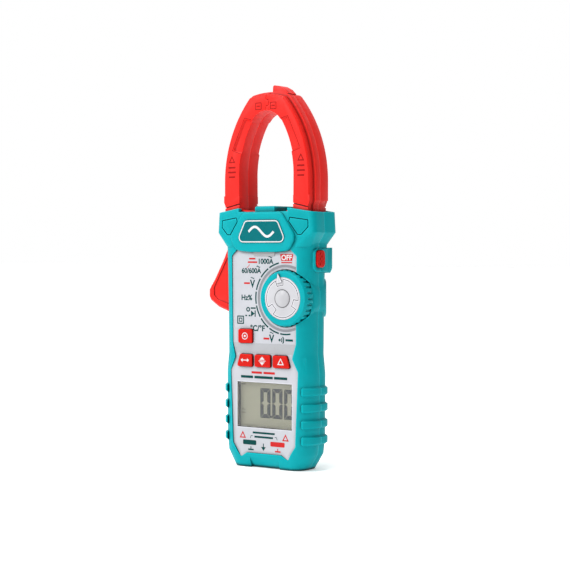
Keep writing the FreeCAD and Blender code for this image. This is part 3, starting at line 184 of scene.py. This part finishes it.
def near_walls(tree, reach, inside, nearest, level):
    """A factor that is level in corners or, taken inside the solid, along outer edges, and 1 elsewhere."""
    walls = tree.nodes.new("ShaderNodeAmbientOcclusion")
    walls.samples = WALL_SAMPLES
    walls.inside = inside
    walls.inputs["Distance"].default_value = reach
    return ranged(tree, walls.outputs["AO"], nearest, OPEN_SURFACE, level, 1.0).outputs["Result"]


def scaled(tree, colour, factor):
    scale = tree.nodes.new("ShaderNodeVectorMath")
    scale.operation = "SCALE"
    tree.links.new(colour, scale.inputs[0])
    tree.links.new(factor, scale.inputs["Scale"])
    return scale.outputs["Vector"]


def add_bump(tree, shader, height, distance, strength):
    bump = tree.nodes.new("ShaderNodeBump")
    bump.inputs["Distance"].default_value = distance
    bump.inputs["Strength"].default_value = strength
    tree.links.new(height, bump.inputs["Height"])
    tree.links.new(bump.outputs["Normal"], shader.inputs["Normal"])


def moulded(name, colour, rough=(0.40, 0.52), depth=0.02, specular=0.08, painted_shade_and_highlight=False):
    """Moulded plastic: a fine spark-eroded grain, depth millimetres deep, and a slight drift of colour and
    gloss. The last option paints shade into its corners and a highlight along its outer edges."""
    material, tree, shader = new_material(name)
    deeper = [channel * PLASTIC_DARKEST for channel in colour]
    tint = colour_between(tree, object_noise(tree, *DRIFT), deeper, colour)
    if painted_shade_and_highlight:
        # Painted shade in corners, then a painted highlight along outer edges
        tint = scaled(tree, tint, near_walls(tree, *PAINTED_CORNER_SHADE))
        tint = scaled(tree, tint, near_walls(tree, *PAINTED_EDGE_HIGHLIGHT))
    tree.links.new(tint, shader.inputs["Base Color"])
    gloss = value_between(tree, object_noise(tree, *GLOSS), *rough)
    tree.links.new(gloss, shader.inputs["Roughness"])
    shader.inputs["Specular IOR Level"].default_value = specular
    add_bump(tree, shader, object_noise(tree, *GRAIN), depth * MM, GRAIN_STRENGTH)
    return material


def brushed(name, colour, rough):
    material, tree, shader = new_material(name)
    fine = object_noise(tree, *BRUSHING)
    darker = [channel * METAL_DARKEST for channel in colour]
    tree.links.new(colour_between(tree, fine, darker, colour), shader.inputs["Base Color"])
    tree.links.new(value_between(tree, fine, *rough), shader.inputs["Roughness"])
    shader.inputs["Metallic"].default_value = 1.0
    add_bump(tree, shader, object_noise(tree, *SCRATCHES), SCRATCH_DEPTH, SCRATCH_STRENGTH)
    return material


def clear_plastic(name):
    material, tree, shader = new_material(name)
    shader.inputs["Transmission Weight"].default_value = 1.0
    shader.inputs["IOR"].default_value = LENS_INDEX
    smear = object_noise(tree, *SMEARS)
    tree.links.new(colour_between(tree, smear, LENS, WHITE), shader.inputs["Base Color"])
    tree.links.new(value_between(tree, smear, *LENS_ROUGH), shader.inputs["Roughness"])
    return material


MATERIALS = {name: moulded(name, colour, **finish) for name, colour, finish in PLASTICS}
MATERIALS.update({name: brushed(name, colour, rough) for name, colour, rough in METALS})
MATERIALS["lens_clear"] = clear_plastic("lens_clear")
PRINTS = {name: moulded("print_" + name, colour, **INK_FINISH) for name, colour in INKS}

for entry in subparts:
    node = nodes[entry["node"]]
    node.data.materials.clear()
    node.data.materials.append(MATERIALS[entry["material_slot"]])


# ---------------------------------------------------------------- pieces with rounded edges

# Each node that gets rounded edges, and how wide the rounding is
ROUNDED = (
    ("front_cover", 0.45 * MM),
    ("rear_cover", 0.45 * MM),
    ("left_jaw_front_shell", 0.5 * MM),
    ("left_jaw_rear_shell", 0.5 * MM),
    ("right_jaw_front_shell", 0.5 * MM),
    ("right_jaw_rear_shell", 0.5 * MM),
    ("trigger", 0.35 * MM),
    ("dial_knob", 0.2 * MM),
    ("battery_door", 0.3 * MM),
)
ROUNDING_STEPS = 2
# Points nearer than this are one point, and faces within this turn of each other are one flat face
SAME_POINT = 0.002 * MM
FLAT_WITHIN = math.radians(0.6)
# An edge that turns more than this is rounded, and one that still turns more than this shows as a sharp line
ROUND_ABOVE = math.radians(28.0)
SHARP_ABOVE = math.radians(40.0)


def slot_of(node):
    for entry in subparts:
        if entry["node"] == node:
            return entry["material_slot"]


def body_of(node):
    for body, members in frame["record"]["behaviour"]["bodies"].items():
        if node in members:
            return body


def add_object(name, mesh, material, body):
    piece = bpy.data.objects.new(name, mesh)
    bpy.context.scene.collection.objects.link(piece)
    mesh.materials.clear()
    mesh.materials.append(material)
    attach(piece, body)
    return piece


def evaluated_mesh(piece):
    """A new mesh of the piece as it shows, with its modifiers applied."""
    graph = bpy.context.evaluated_depsgraph_get()
    return bpy.data.meshes.new_from_object(piece.evaluated_get(graph))


def softened(node, width):
    """A copy of a CAD node whose edges are rounded. It stands for the node."""
    mesh = nodes[node].data.copy()
    shape = bmesh.new()
    shape.from_mesh(mesh)
    bmesh.ops.remove_doubles(shape, verts=shape.verts, dist=SAME_POINT)
    bmesh.ops.dissolve_limit(
        shape, angle_limit=FLAT_WITHIN, verts=shape.verts, edges=shape.edges, use_dissolve_boundaries=False
    )
    shape.to_mesh(mesh)
    shape.free()
    slot = slot_of(node)
    piece = add_object(node + "_finish", mesh, MATERIALS[slot], body_of(node))
    bevel = piece.modifiers.new("round_edges", "BEVEL")
    bevel.width = width
    bevel.segments = ROUNDING_STEPS
    bevel.limit_method = "ANGLE"
    bevel.angle_limit = ROUND_ABOVE
    bevel.miter_outer = "MITER_ARC"
    bevel.use_clamp_overlap = True
    finished = evaluated_mesh(piece)
    piece.modifiers.clear()
    piece.data = finished
    finished.shade_smooth()
    finished.set_sharp_from_angle(angle=SHARP_ABOVE)
    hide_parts(node)


for node, width in ROUNDED:
    softened(node, width)


# ---------------------------------------------------------------- shapes for the marks

# Every x, z and size of a mark is in millimetres, X to the right and Z up as seen from the front. Only the
# depth of the face that it lies on is in metres, as the frame gives it. A shape is a list of outlines: the
# first is its border, and any others are holes in it

PRINT_THICKNESS = 0.03
MOULDED_THICKNESS = 0.12
# Letters are thickened all round by this share of their size
LETTER_WEIGHT = 0.03
# How far a line's border may run out at a sharp turn, as the least cosine of half the turn
MITRE_LIMIT = 0.3
SMALLEST_CORNER = 0.1
CORNER_STEPS = 6

# The dial's centre
disc_low, disc_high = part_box("dial_disc")
DIAL_X = (disc_low[0] + disc_high[0]) / 2 / MM
DIAL_Z = (disc_low[2] + disc_high[2]) / 2 / MM


def curve_mesh(data):
    holder = bpy.data.objects.new("holder", data)
    bpy.context.scene.collection.objects.link(holder)
    bpy.context.view_layer.update()
    mesh = evaluated_mesh(holder)
    bpy.data.objects.remove(holder)
    return mesh


def filled(loops, thickness=PRINT_THICKNESS):
    """A thin plate of one shape."""
    data = bpy.data.curves.new("outline", "CURVE")
    data.dimensions = "2D"
    data.fill_mode = "BOTH"
    data.extrude = thickness * MM / 2
    for loop in loops:
        spline = data.splines.new("POLY")
        spline.points.add(len(loop) - 1)
        for point, (x, z) in zip(spline.points, loop):
            point.co = (x * MM, z * MM, 0, 1)
        spline.use_cyclic_u = True
    return curve_mesh(data)


def lettering(words, x, z, size):
    """Plain capitals and figures in the built-in font, standing at z with their middle at x."""
    data = bpy.data.curves.new("words", "FONT")
    data.body = words
    data.size = size * MM
    data.align_x = "CENTER"
    data.offset = LETTER_WEIGHT * size * MM
    data.extrude = PRINT_THICKNESS * MM / 2
    mesh = curve_mesh(data)
    mesh.transform(Matrix.Translation((x * MM, z * MM, 0)))
    return mesh


def add_marks(name, meshes, y, material, body):
    """One piece of all the meshes, stood up to face the front with their middle at depth y."""
    shape = bmesh.new()
    for mesh in meshes:
        shape.from_mesh(mesh)
        bpy.data.meshes.remove(mesh)
    whole = bpy.data.meshes.new(name)
    shape.to_mesh(whole)
    shape.free()
    whole.transform(Matrix.Translation((0, y, 0)) @ Matrix.Rotation(math.radians(90), 4, "X"))
    add_object(name, whole, PRINTS[material], body)


def add_print(name, shapes, face_y, material, body, words=(), layer=0):
    """Ink on a face at depth face_y. layer says how many layers of ink are under it."""
    meshes = [filled(shape) for shape in shapes] + [lettering(*row) for row in words]
    add_marks(name, meshes, face_y - (layer + 0.5) * PRINT_THICKNESS * MM, material, body)


def bar(low_x, low_z, high_x, high_z):
    return [[(low_x, low_z), (high_x, low_z), (high_x, high_z), (low_x, high_z)]]


def arc_points(x, z, radius, start, end, steps):
    turns = [math.radians(start + (end - start) * i / steps) for i in range(steps + 1)]
    return [(x + radius * math.cos(turn), z + radius * math.sin(turn)) for turn in turns]


def arc_band(x, z, inner, outer, start, end, steps=24):
    return [arc_points(x, z, outer, start, end, steps) + arc_points(x, z, inner, end, start, steps)]


def dot(x, z, radius, steps=20):
    return [arc_points(x, z, radius, 0, 360, steps)[:-1]]


def ring(x, z, inner, outer, steps=96):
    return dot(x, z, outer, steps) + dot(x, z, inner, steps)


def corner_ways(corners, i):
    """Corner i, the ways from it to the corners before and after it, and half the angle between them."""
    here = Vector(corners[i])
    back = (Vector(corners[i - 1]) - here).normalized()
    on = (Vector(corners[(i + 1) % len(corners)]) - here).normalized()
    return here, back, on, back.angle(on) / 2


def rounded(corners, radius):
    """A convex outline, anticlockwise, with each corner rounded."""
    points = []
    for i in range(len(corners)):
        here, back, on, half = corner_ways(corners, i)
        centre = here + (back + on).normalized() * (radius / math.sin(half))
        first = here + back * radius / math.tan(half) - centre
        last = here + on * radius / math.tan(half) - centre
        turn = first.angle_signed(last)
        for step in range(CORNER_STEPS + 1):
            points.append(tuple(centre + Matrix.Rotation(-turn * step / CORNER_STEPS, 2) @ first))
    return points


def outline_band(corners, radius, width):
    """A line of one width along a rounded convex outline, inside it."""
    inner = []
    for i in range(len(corners)):
        here, back, on, half = corner_ways(corners, i)
        inner.append(tuple(here + (back + on).normalized() * (width / math.sin(half))))
    return [rounded(corners, radius), rounded(inner, max(radius - width, SMALLEST_CORNER))]


def across(way):
    return Vector((-way.y, way.x))


def stroke(points, width):
    """A line of one width through some points, with mitred turns."""
    ways = [(Vector(on) - Vector(here)).normalized() for here, on in zip(points, points[1:])]
    left = []
    right = []
    for i, point in enumerate(points):
        near = ways[max(i - 1, 0):i + 1]
        side = across(sum(near, Vector((0, 0))).normalized())
        reach = side * width / 2 / max(side.dot(across(near[0])), MITRE_LIMIT)
        left.append(tuple(Vector(point) + reach))
        right.append(tuple(Vector(point) - reach))
    return [left + right[::-1]]


def wave(x, z, length, height, width, steps=32):
    """One cycle of a sine wave."""
    shares = [i / steps for i in range(steps + 1)]
    rises = [height / 2 * math.sin(math.tau * share) for share in shares]
    return stroke([(x + length * (share - 0.5), z + rise) for share, rise in zip(shares, rises)], width)


def square_band(x, z, half_width, half_height, radius, width):
    border = bar(x - half_width, z - half_height, x + half_width, z + half_height)[0]
    return outline_band(border, radius, width)


def hollow_triangle(x, z, half, height, inner_half, inner_foot, inner_top):
    """A triangle that stands on z. The last three are its hole's half width, and its foot and top above z."""
    border = [(x - half, z), (x + half, z), (x, z + height)]
    return [border, [(x - inner_half, z + inner_foot), (x, z + inner_top), (x + inner_half, z + inner_foot)]]


# ---------------------------------------------------------------- print on the panel

# Range scale: one arc for each station of the dial after the first, and a grey ring inside the arcs. Turns
# are in degrees anticlockwise from +X
STATIONS = 9
STATION_STEP = 22.5
FIRST_STATION = 90.0
ARC_GAP = 1.4
ARC_RADII = (21.9, 22.85)
RING_RADII = (19.3, 20.9)
RING_SPAN = (67, 293)
RING_STEPS = 120

SIGN_LENGTH = 2.6
VOLT_MARKS = ((-9.0, 114.2), (5.6, 80.2))
# Words, the x of their middle, the z that they stand on, and their size
LEGENDS = (
    ("1000A", 0.9, 128.4, 4.4),
    ("60/600A", -10.0, 122.5, 4.3),
    ("Hz%", -13.5, 105.5, 4.6),
    ("°C/°F", -5.2, 86.2, 5.0),
)
OFF_WORD = ("OFF", 16.9, 130.8, 4.5)
OFF_PLATE = [(12.9, 130.2), (20.9, 130.2), (22.0, 134.5), (11.8, 134.5)]
# Bars that stand for words, and one under OFF: lowest x and z, highest x and z
TITLE_BARS = ((-18.0, 56.3, -8.6, 57.9), (-7.6, 56.3, 6.4, 57.9), (7.4, 56.3, 17.3, 57.9))
RATING_BARS = ((-8.9, 21.5, 7.9, 22.7), (-7.6, 18.9, 6.6, 20.1))
FIELD_BAR = (16.0, 80.4, 21.6, 81.7)
RED_BARS = (
    (-11.6, 131.0, -6.8, 132.0),
    (-12.6, 128.8, -5.4, 129.8),
    (-15.5, 115.5, -11.0, 116.6),
    (-0.6, 81.0, 3.8, 82.2),
    (-9.8, 59.3, -1.8, 60.7),
    (-0.6, 59.3, 8.0, 60.7),
    (12.9, 128.8, 20.9, 129.5),
)
# The tinted band across the panel between the keys
BAND = [
    (-21.2, 72.2), (22.0, 72.2), (23.8, 78.4), (-7.9, 78.4),
    (-7.9, 77.7), (-19.8, 77.7), (-19.8, 78.4), (-23.8, 78.4),
]


def range_arcs():
    arcs = []
    for station in range(1, STATIONS):
        start = FIRST_STATION + STATION_STEP * (station - 0.5)
        arcs.append(arc_band(DIAL_X, DIAL_Z, *ARC_RADII, start + ARC_GAP, start + STATION_STEP - ARC_GAP))
    return arcs


def volt_mark(x, z):
    """A V that stands on x, z, with a wave over it."""
    letter = stroke([(x - 1.5, z + 4.0), (x, z), (x + 1.5, z + 4.0)], 0.9)
    return [letter, wave(x, z + 5.2, SIGN_LENGTH, 0.7, 0.5)]


def ampere_waves():
    return [wave(x, z, SIGN_LENGTH, 0.8, 0.55) for x, z in ((4.6, 132.6), (-4.5, 126.5))]


def part_marks():
    """A ring over two dashes, and a diode's sign with a line over it."""
    return [
        ring(-12.4, 99.6, 0.75, 1.5, 32),
        bar(-14.6, 95.2, -13.2, 96.1),
        bar(-12.0, 95.2, -10.6, 96.1),
        [[(-10.2, 95.0), (-7.4, 97.0), (-10.2, 99.0)]],
        bar(-7.4, 95.0, -6.6, 99.0),
        bar(-10.4, 100.0, -6.6, 100.9),
    ]


def double_square(x, z):
    """A square in a square."""
    return [square_band(x, z, 2.65, 2.6, 0.4, 0.7), square_band(x, z, 1.35, 1.3, 0.2, 0.6)]


def field_mark(x, z):
    """A dot that sends out two arcs."""
    return [dot(x, z, 0.8), arc_band(x, z, 1.4, 2.15, -42, 42, 10), arc_band(x, z, 2.7, 3.45, -42, 42, 10)]


def rating_brackets():
    return [
        stroke([(-10.8, 18.4), (-10.2, 20.0), (-8.9, 20.0)], 0.35),
        stroke([(7.9, 20.0), (9.2, 20.0), (9.8, 18.4)], 0.35),
    ]


def socket_mark(low_x, high_x, foot_x):
    """A bar for a socket's name, over a foot with a short stem."""
    name_bar = [rounded(bar(low_x, 14.2, high_x, 17.2)[0], 0.7)]
    foot = bar(foot_x - 2.1, 10.8, foot_x + 2.1, 11.7)
    stem = bar(foot_x - 0.3, 11.7, foot_x + 0.3, 13.2)
    return [name_bar, foot, stem]


def ground_arrow(x):
    return [bar(x - 0.3, 13.4, x + 0.3, 15.6), [[(x - 1.8, 13.4), (x, 11.0), (x + 1.8, 13.4)]]]


def panel_print():
    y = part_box("face_panel")[0][1]
    green = range_arcs() + ampere_waves() + part_marks()
    green += double_square(-18.25, 92.9) + field_mark(11.6, 81.0)
    for x, z in VOLT_MARKS:
        green += volt_mark(x, z)
    green += [bar(*ends) for ends in (*TITLE_BARS, *RATING_BARS, FIELD_BAR)]
    green += rating_brackets() + socket_mark(-16.4, -6.2, -10.3) + ground_arrow(-0.7)
    add_print("panel_print_green", green, y, "green", "case", LEGENDS)

    red = [bar(*ends) for ends in RED_BARS] + socket_mark(4.6, 15.4, 10.2)
    red.append(stroke([(-11.2, 127.8), (-13.4, 125.6)], 0.35))
    red += [hollow_triangle(x, 18.2, 2.5, 4.4, 1.3, 0.7, 3.0) for x in (-16.6, 16.0)]
    red.append([rounded(OFF_PLATE, 0.6)])
    add_print("panel_print_red", red, y, "red", "case")
    add_print("panel_print_off", [], y, "white", "case", [OFF_WORD], layer=1)

    grey_ring = arc_band(DIAL_X, DIAL_Z, *RING_RADII, *RING_SPAN, RING_STEPS)
    add_print("panel_print_ring", [grey_ring], y, "grey", "case")
    add_print("panel_print_band", [[BAND]], y, "band", "case")


# ---------------------------------------------------------------- display, badge, keys, dial and jaws

# The display's figures: their size, where they stand, their left edges, and how wide a bar and half the gap
# between two bars are
DIGIT_WIDTH = 7.8
DIGIT_HEIGHT = 18.8
DIGIT_FOOT = 31.2
DIGITS_X = (-5.6, 3.5, 12.5)
SEGMENT = 2.55
SEGMENT_GAP = 0.16
# The x, z and radius of the figures' point
DECIMAL_POINT = (2.7, 32.3, 0.75)
# The badge's white border, and the x, z, length, height and width of its wave
BADGE_CORNERS = [(-19.0, 141.7), (19.0, 141.7), (12.4, 155.5), (-12.4, 155.5)]
BADGE_WAVE = (0, 148.4, 19.0, 6.0, 1.5)
# The line round the dial's hub is painted shade for the gap between hub and disc. It starts this far outside
# the hub and is this wide
HUB_GAP = 0.15
HUB_LINE = 0.45
# How far the marks near a jaw's tip and those lower down are from X = 0
TIP_MARK_X = 5.6
JAW_MARK_X = 26.2
# Half lengths of the bars on each jaw, from the top one down, and where the top one stands
JAW_BARS = (2.7, 3.0, 2.5)
JAW_BAR_FOOT = 188.6
JAW_BAR_PITCH = 3.0
JAW_BAR_HEIGHT = 1.0
# The border of a jaw's sunk pad, on the right jaw, along which a line of painted shade is drawn
PAD_BORDER = ((11.2, 218.8), (16.5, 220.0), (25.8, 199.9), (19.5, 197.6))


def zero(x, z):
    """The six outer bars of a seven-bar figure, each with mitred ends. x, z is its lower left corner."""
    right = x + DIGIT_WIDTH
    top = z + DIGIT_HEIGHT
    middle = z + DIGIT_HEIGHT / 2
    s = SEGMENT
    g = SEGMENT_GAP
    half = SEGMENT / 2
    bars = [
        [(x + g, top), (right - g, top), (right - s - g, top - s), (x + s + g, top - s)],
        [(x + g, z), (x + s + g, z + s), (right - s - g, z + s), (right - g, z)],
    ]
    for edge, inward in ((x, 1), (right, -1)):
        inner = edge + inward * s
        point = edge + inward * half
        upper = [(edge, top - g), (inner, top - s - g), (inner, middle + half), (point, middle + g)]
        lower = [(edge, middle - g), (point, middle - g), (inner, middle - half), (inner, z + s + g)]
        bars.append(upper + [(edge, middle + g)])
        bars.append(lower + [(edge, z + g)])
    return [[outline] for outline in bars]


def display_print():
    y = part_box("lcd_glass")[0][1]
    shown = [dot(*DECIMAL_POINT)]
    for x in DIGITS_X:
        shown += zero(x, DIGIT_FOOT)
    add_print("display_digits", shown, y, "ink", "case")
    faint = [wave(-18.4, 36.0, 3.0, 0.9, 0.5), bar(-20.2, 33.6, -16.8, 34.3), bar(-20.2, 51.6, -16.6, 52.4)]
    add_print("display_signs", faint, y, "faint", "case")


def badge_print():
    border = outline_band(BADGE_CORNERS, 3.2, 0.7)
    sign = wave(*BADGE_WAVE, steps=48)
    add_print("badge_print", [border, sign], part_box("badge_plate")[0][1], "white", "case")


def target(x, z):
    return [ring(x, z, 1.7, 2.2, 48), dot(x, z, 0.75)]


def sideways_arrows(x, z):
    shapes = [bar(x - 1.7, z - 0.3, x + 1.7, z + 0.3)]
    for side in (-1, 1):
        shapes.append([[(x + side * 3.3, z), (x + side * 1.7, z - 1.2), (x + side * 1.7, z + 1.2)]])
    return shapes


def upright_arrows(x, z):
    shapes = [bar(x - 2.6, z - 0.25, x + 2.6, z + 0.25)]
    for side in (-1, 1):
        shapes.append([[(x - 2.0, z + side * 0.75), (x + 2.0, z + side * 0.75), (x, z + side * 2.75)]])
    return shapes


# Each key's node, its body, and its sign
KEY_SIGNS = (
    ("func_button", "func_key", target(-13.9, 82.8)),
    ("range_button", "range_key", sideways_arrows(-13.9, 67.6)),
    ("max_min_button", "max_min_key", upright_arrows(-0.6, 67.55)),
    ("relative_button", "relative_key", [hollow_triangle(13.4, 65.6, 2.5, 4.3, 1.5, 0.6, 3.2)]),
)


def key_print():
    for node, body, sign in KEY_SIGNS:
        add_print(node + "_print", sign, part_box(node)[0][1], "white", body)


def dial_print():
    hub_low, hub_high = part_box("dial_hub")
    inner = (hub_high[0] - hub_low[0]) / 2 / MM + HUB_GAP
    # A dark ring just outside the hub: painted shade for the gap between hub and disc
    hub_ring = ring(DIAL_X, DIAL_Z, inner, inner + HUB_LINE)
    add_print("dial_disc_print", [hub_ring], disc_low[1], "outline", "dial")


def jaw_marks():
    """Marks in a darker red that stand half their thickness proud of each jaw's face: a square sign, a
    triangle over bars, and the border of the sunk pad. The darker red is painted shade for engraved lines and
    the pad's walls."""
    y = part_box("left_jaw_front_shell")[0][1]
    for side, body in ((-1, "left_jaw"), (1, "right_jaw")):
        sign_x = side * TIP_MARK_X
        x = side * JAW_MARK_X
        shapes = [
            square_band(sign_x, 226.9, 2.4, 2.3, 0.4, 0.5),
            bar(sign_x - 1.2, 226.6, sign_x + 1.2, 227.2),
            hollow_triangle(x, 192.0, 2.6, 4.6, 1.5, 0.7, 3.3),
            stroke([(side * border_x, z) for border_x, z in PAD_BORDER], 0.32),
        ]
        for i, half in enumerate(JAW_BARS):
            foot = JAW_BAR_FOOT - JAW_BAR_PITCH * i
            shapes.append(bar(x - half, foot, x + half, foot + JAW_BAR_HEIGHT))
        # The marks' darker red is painted shade for engraved lines and the sunk pad's walls
        meshes = [filled(shape, MOULDED_THICKNESS) for shape in shapes]
        add_marks(body + "_marks", meshes, y, "mark", body)


panel_print()
display_print()
badge_print()
key_print()
dial_print()
jaw_marks()


# ---------------------------------------------------------------- stage, light and camera

FLOOR_HALF = 8.0
FLOOR_DROP = 0.2 * MM
FLOOR_COLOURS = ((0.88, 0.88, 0.88), (0.90, 0.90, 0.90))
FLOOR_ROUGH = 0.8
# The floor glows a little, so that it stays pale out to its edge
FLOOR_GLOW = 0.34
# The sky is white and fades to grey towards +X, so that the sides on the right stay darker than the front.
# The fade runs between these two X of a direction in the sky, and ends at this brightness
SKY_TURN = -0.1
SKY_END = 0.6
SKY_SHADE = 0.28
# Each light's name, place, width and power in watts. All point at LIGHT_TARGET
LIGHT_TARGET = (0, 0, 0.12)
LIGHTS = (
    ("key", (-0.6, -0.9, 0.75), 0.4, 7.5),
    ("front_fill", (0.2, -1.3, 0.5), 0.5, 1.5),
    ("side_rim", (0.9, 0.6, 0.6), 0.3, 0.4),
    ("top", (0.02, -0.1, 1.1), 0.25, 6.0),
)

CAMERA_TURN = math.radians(35.0)
CAMERA_DISTANCE = 932.0 * MM
CAMERA_HEIGHT = 139.5 * MM
# The camera stands CAMERA_DISTANCE from the point X = 0 at this depth, and aims this much right of it and
# below level for each metre ahead
FACE_Y = -12.0 * MM
AIM_RIGHT = 0.0139
AIM_DOWN = 0.0262
# The lens and the sensor are in millimetres, and nothing nearer than NEAREST_SEEN shows
LENS_LENGTH = 94.2
SENSOR_WIDTH = 36.0
NEAREST_SEEN = 10.0 * MM


def add_light(name, place, width, power):
    data = bpy.data.lights.new(name, "AREA")
    data.shape = "DISK"
    data.size = width
    data.energy = power
    light = bpy.data.objects.new(name, data)
    light.location = place
    light.rotation_euler = (Vector(LIGHT_TARGET) - Vector(place)).to_track_quat("-Z", "Y").to_euler()
    bpy.context.scene.collection.objects.link(light)


def build_floor():
    mesh = bpy.data.meshes.new("floor")
    half = FLOOR_HALF
    corners = [(-half, -half, 0), (half, -half, 0), (half, half, 0), (-half, half, 0)]
    mesh.from_pydata(corners, [], [(0, 1, 2, 3)])
    floor = bpy.data.objects.new("floor", mesh)
    floor.location.z = -FLOOR_DROP
    bpy.context.scene.collection.objects.link(floor)
    material, tree, shader = new_material("pale_floor")
    drift = object_noise(tree, *FLOOR_DRIFT)
    tree.links.new(colour_between(tree, drift, *FLOOR_COLOURS), shader.inputs["Base Color"])
    shader.inputs["Roughness"].default_value = FLOOR_ROUGH
    shader.inputs["Emission Color"].default_value = (*WHITE, 1)
    shader.inputs["Emission Strength"].default_value = FLOOR_GLOW
    mesh.materials.append(material)


def build_sky():
    world = bpy.data.worlds.new("studio")
    bpy.context.scene.world = world
    world.use_nodes = True
    tree = world.node_tree
    background = tree.nodes["Background"]
    background.inputs["Color"].default_value = (*WHITE, 1)
    place = tree.nodes.new("ShaderNodeTexCoord")
    parts = tree.nodes.new("ShaderNodeSeparateXYZ")
    tree.links.new(place.outputs["Generated"], parts.inputs["Vector"])
    fade = ranged(tree, parts.outputs["X"], SKY_TURN, SKY_END, 1.0, SKY_SHADE)
    fade.interpolation_type = "SMOOTHSTEP"
    tree.links.new(fade.outputs["Result"], background.inputs["Strength"])


def build_camera():
    data = bpy.data.cameras.new("camera")
    data.lens = LENS_LENGTH
    data.sensor_width = SENSOR_WIDTH
    data.clip_start = NEAREST_SEEN
    camera = bpy.data.objects.new("camera", data)
    sine = math.sin(CAMERA_TURN)
    cosine = math.cos(CAMERA_TURN)
    camera.location = (CAMERA_DISTANCE * sine, FACE_Y - CAMERA_DISTANCE * cosine, CAMERA_HEIGHT)
    ahead = Vector((-sine, cosine, 0)) + AIM_RIGHT * Vector((cosine, sine, 0)) - AIM_DOWN * Vector((0, 0, 1))
    camera.rotation_euler = ahead.to_track_quat("-Z", "Y").to_euler()
    bpy.context.scene.collection.objects.link(camera)
    bpy.context.scene.camera = camera


build_floor()
build_sky()
for light in LIGHTS:
    add_light(*light)
build_camera()
bpy.context.scene.view_settings.view_transform = "Standard"
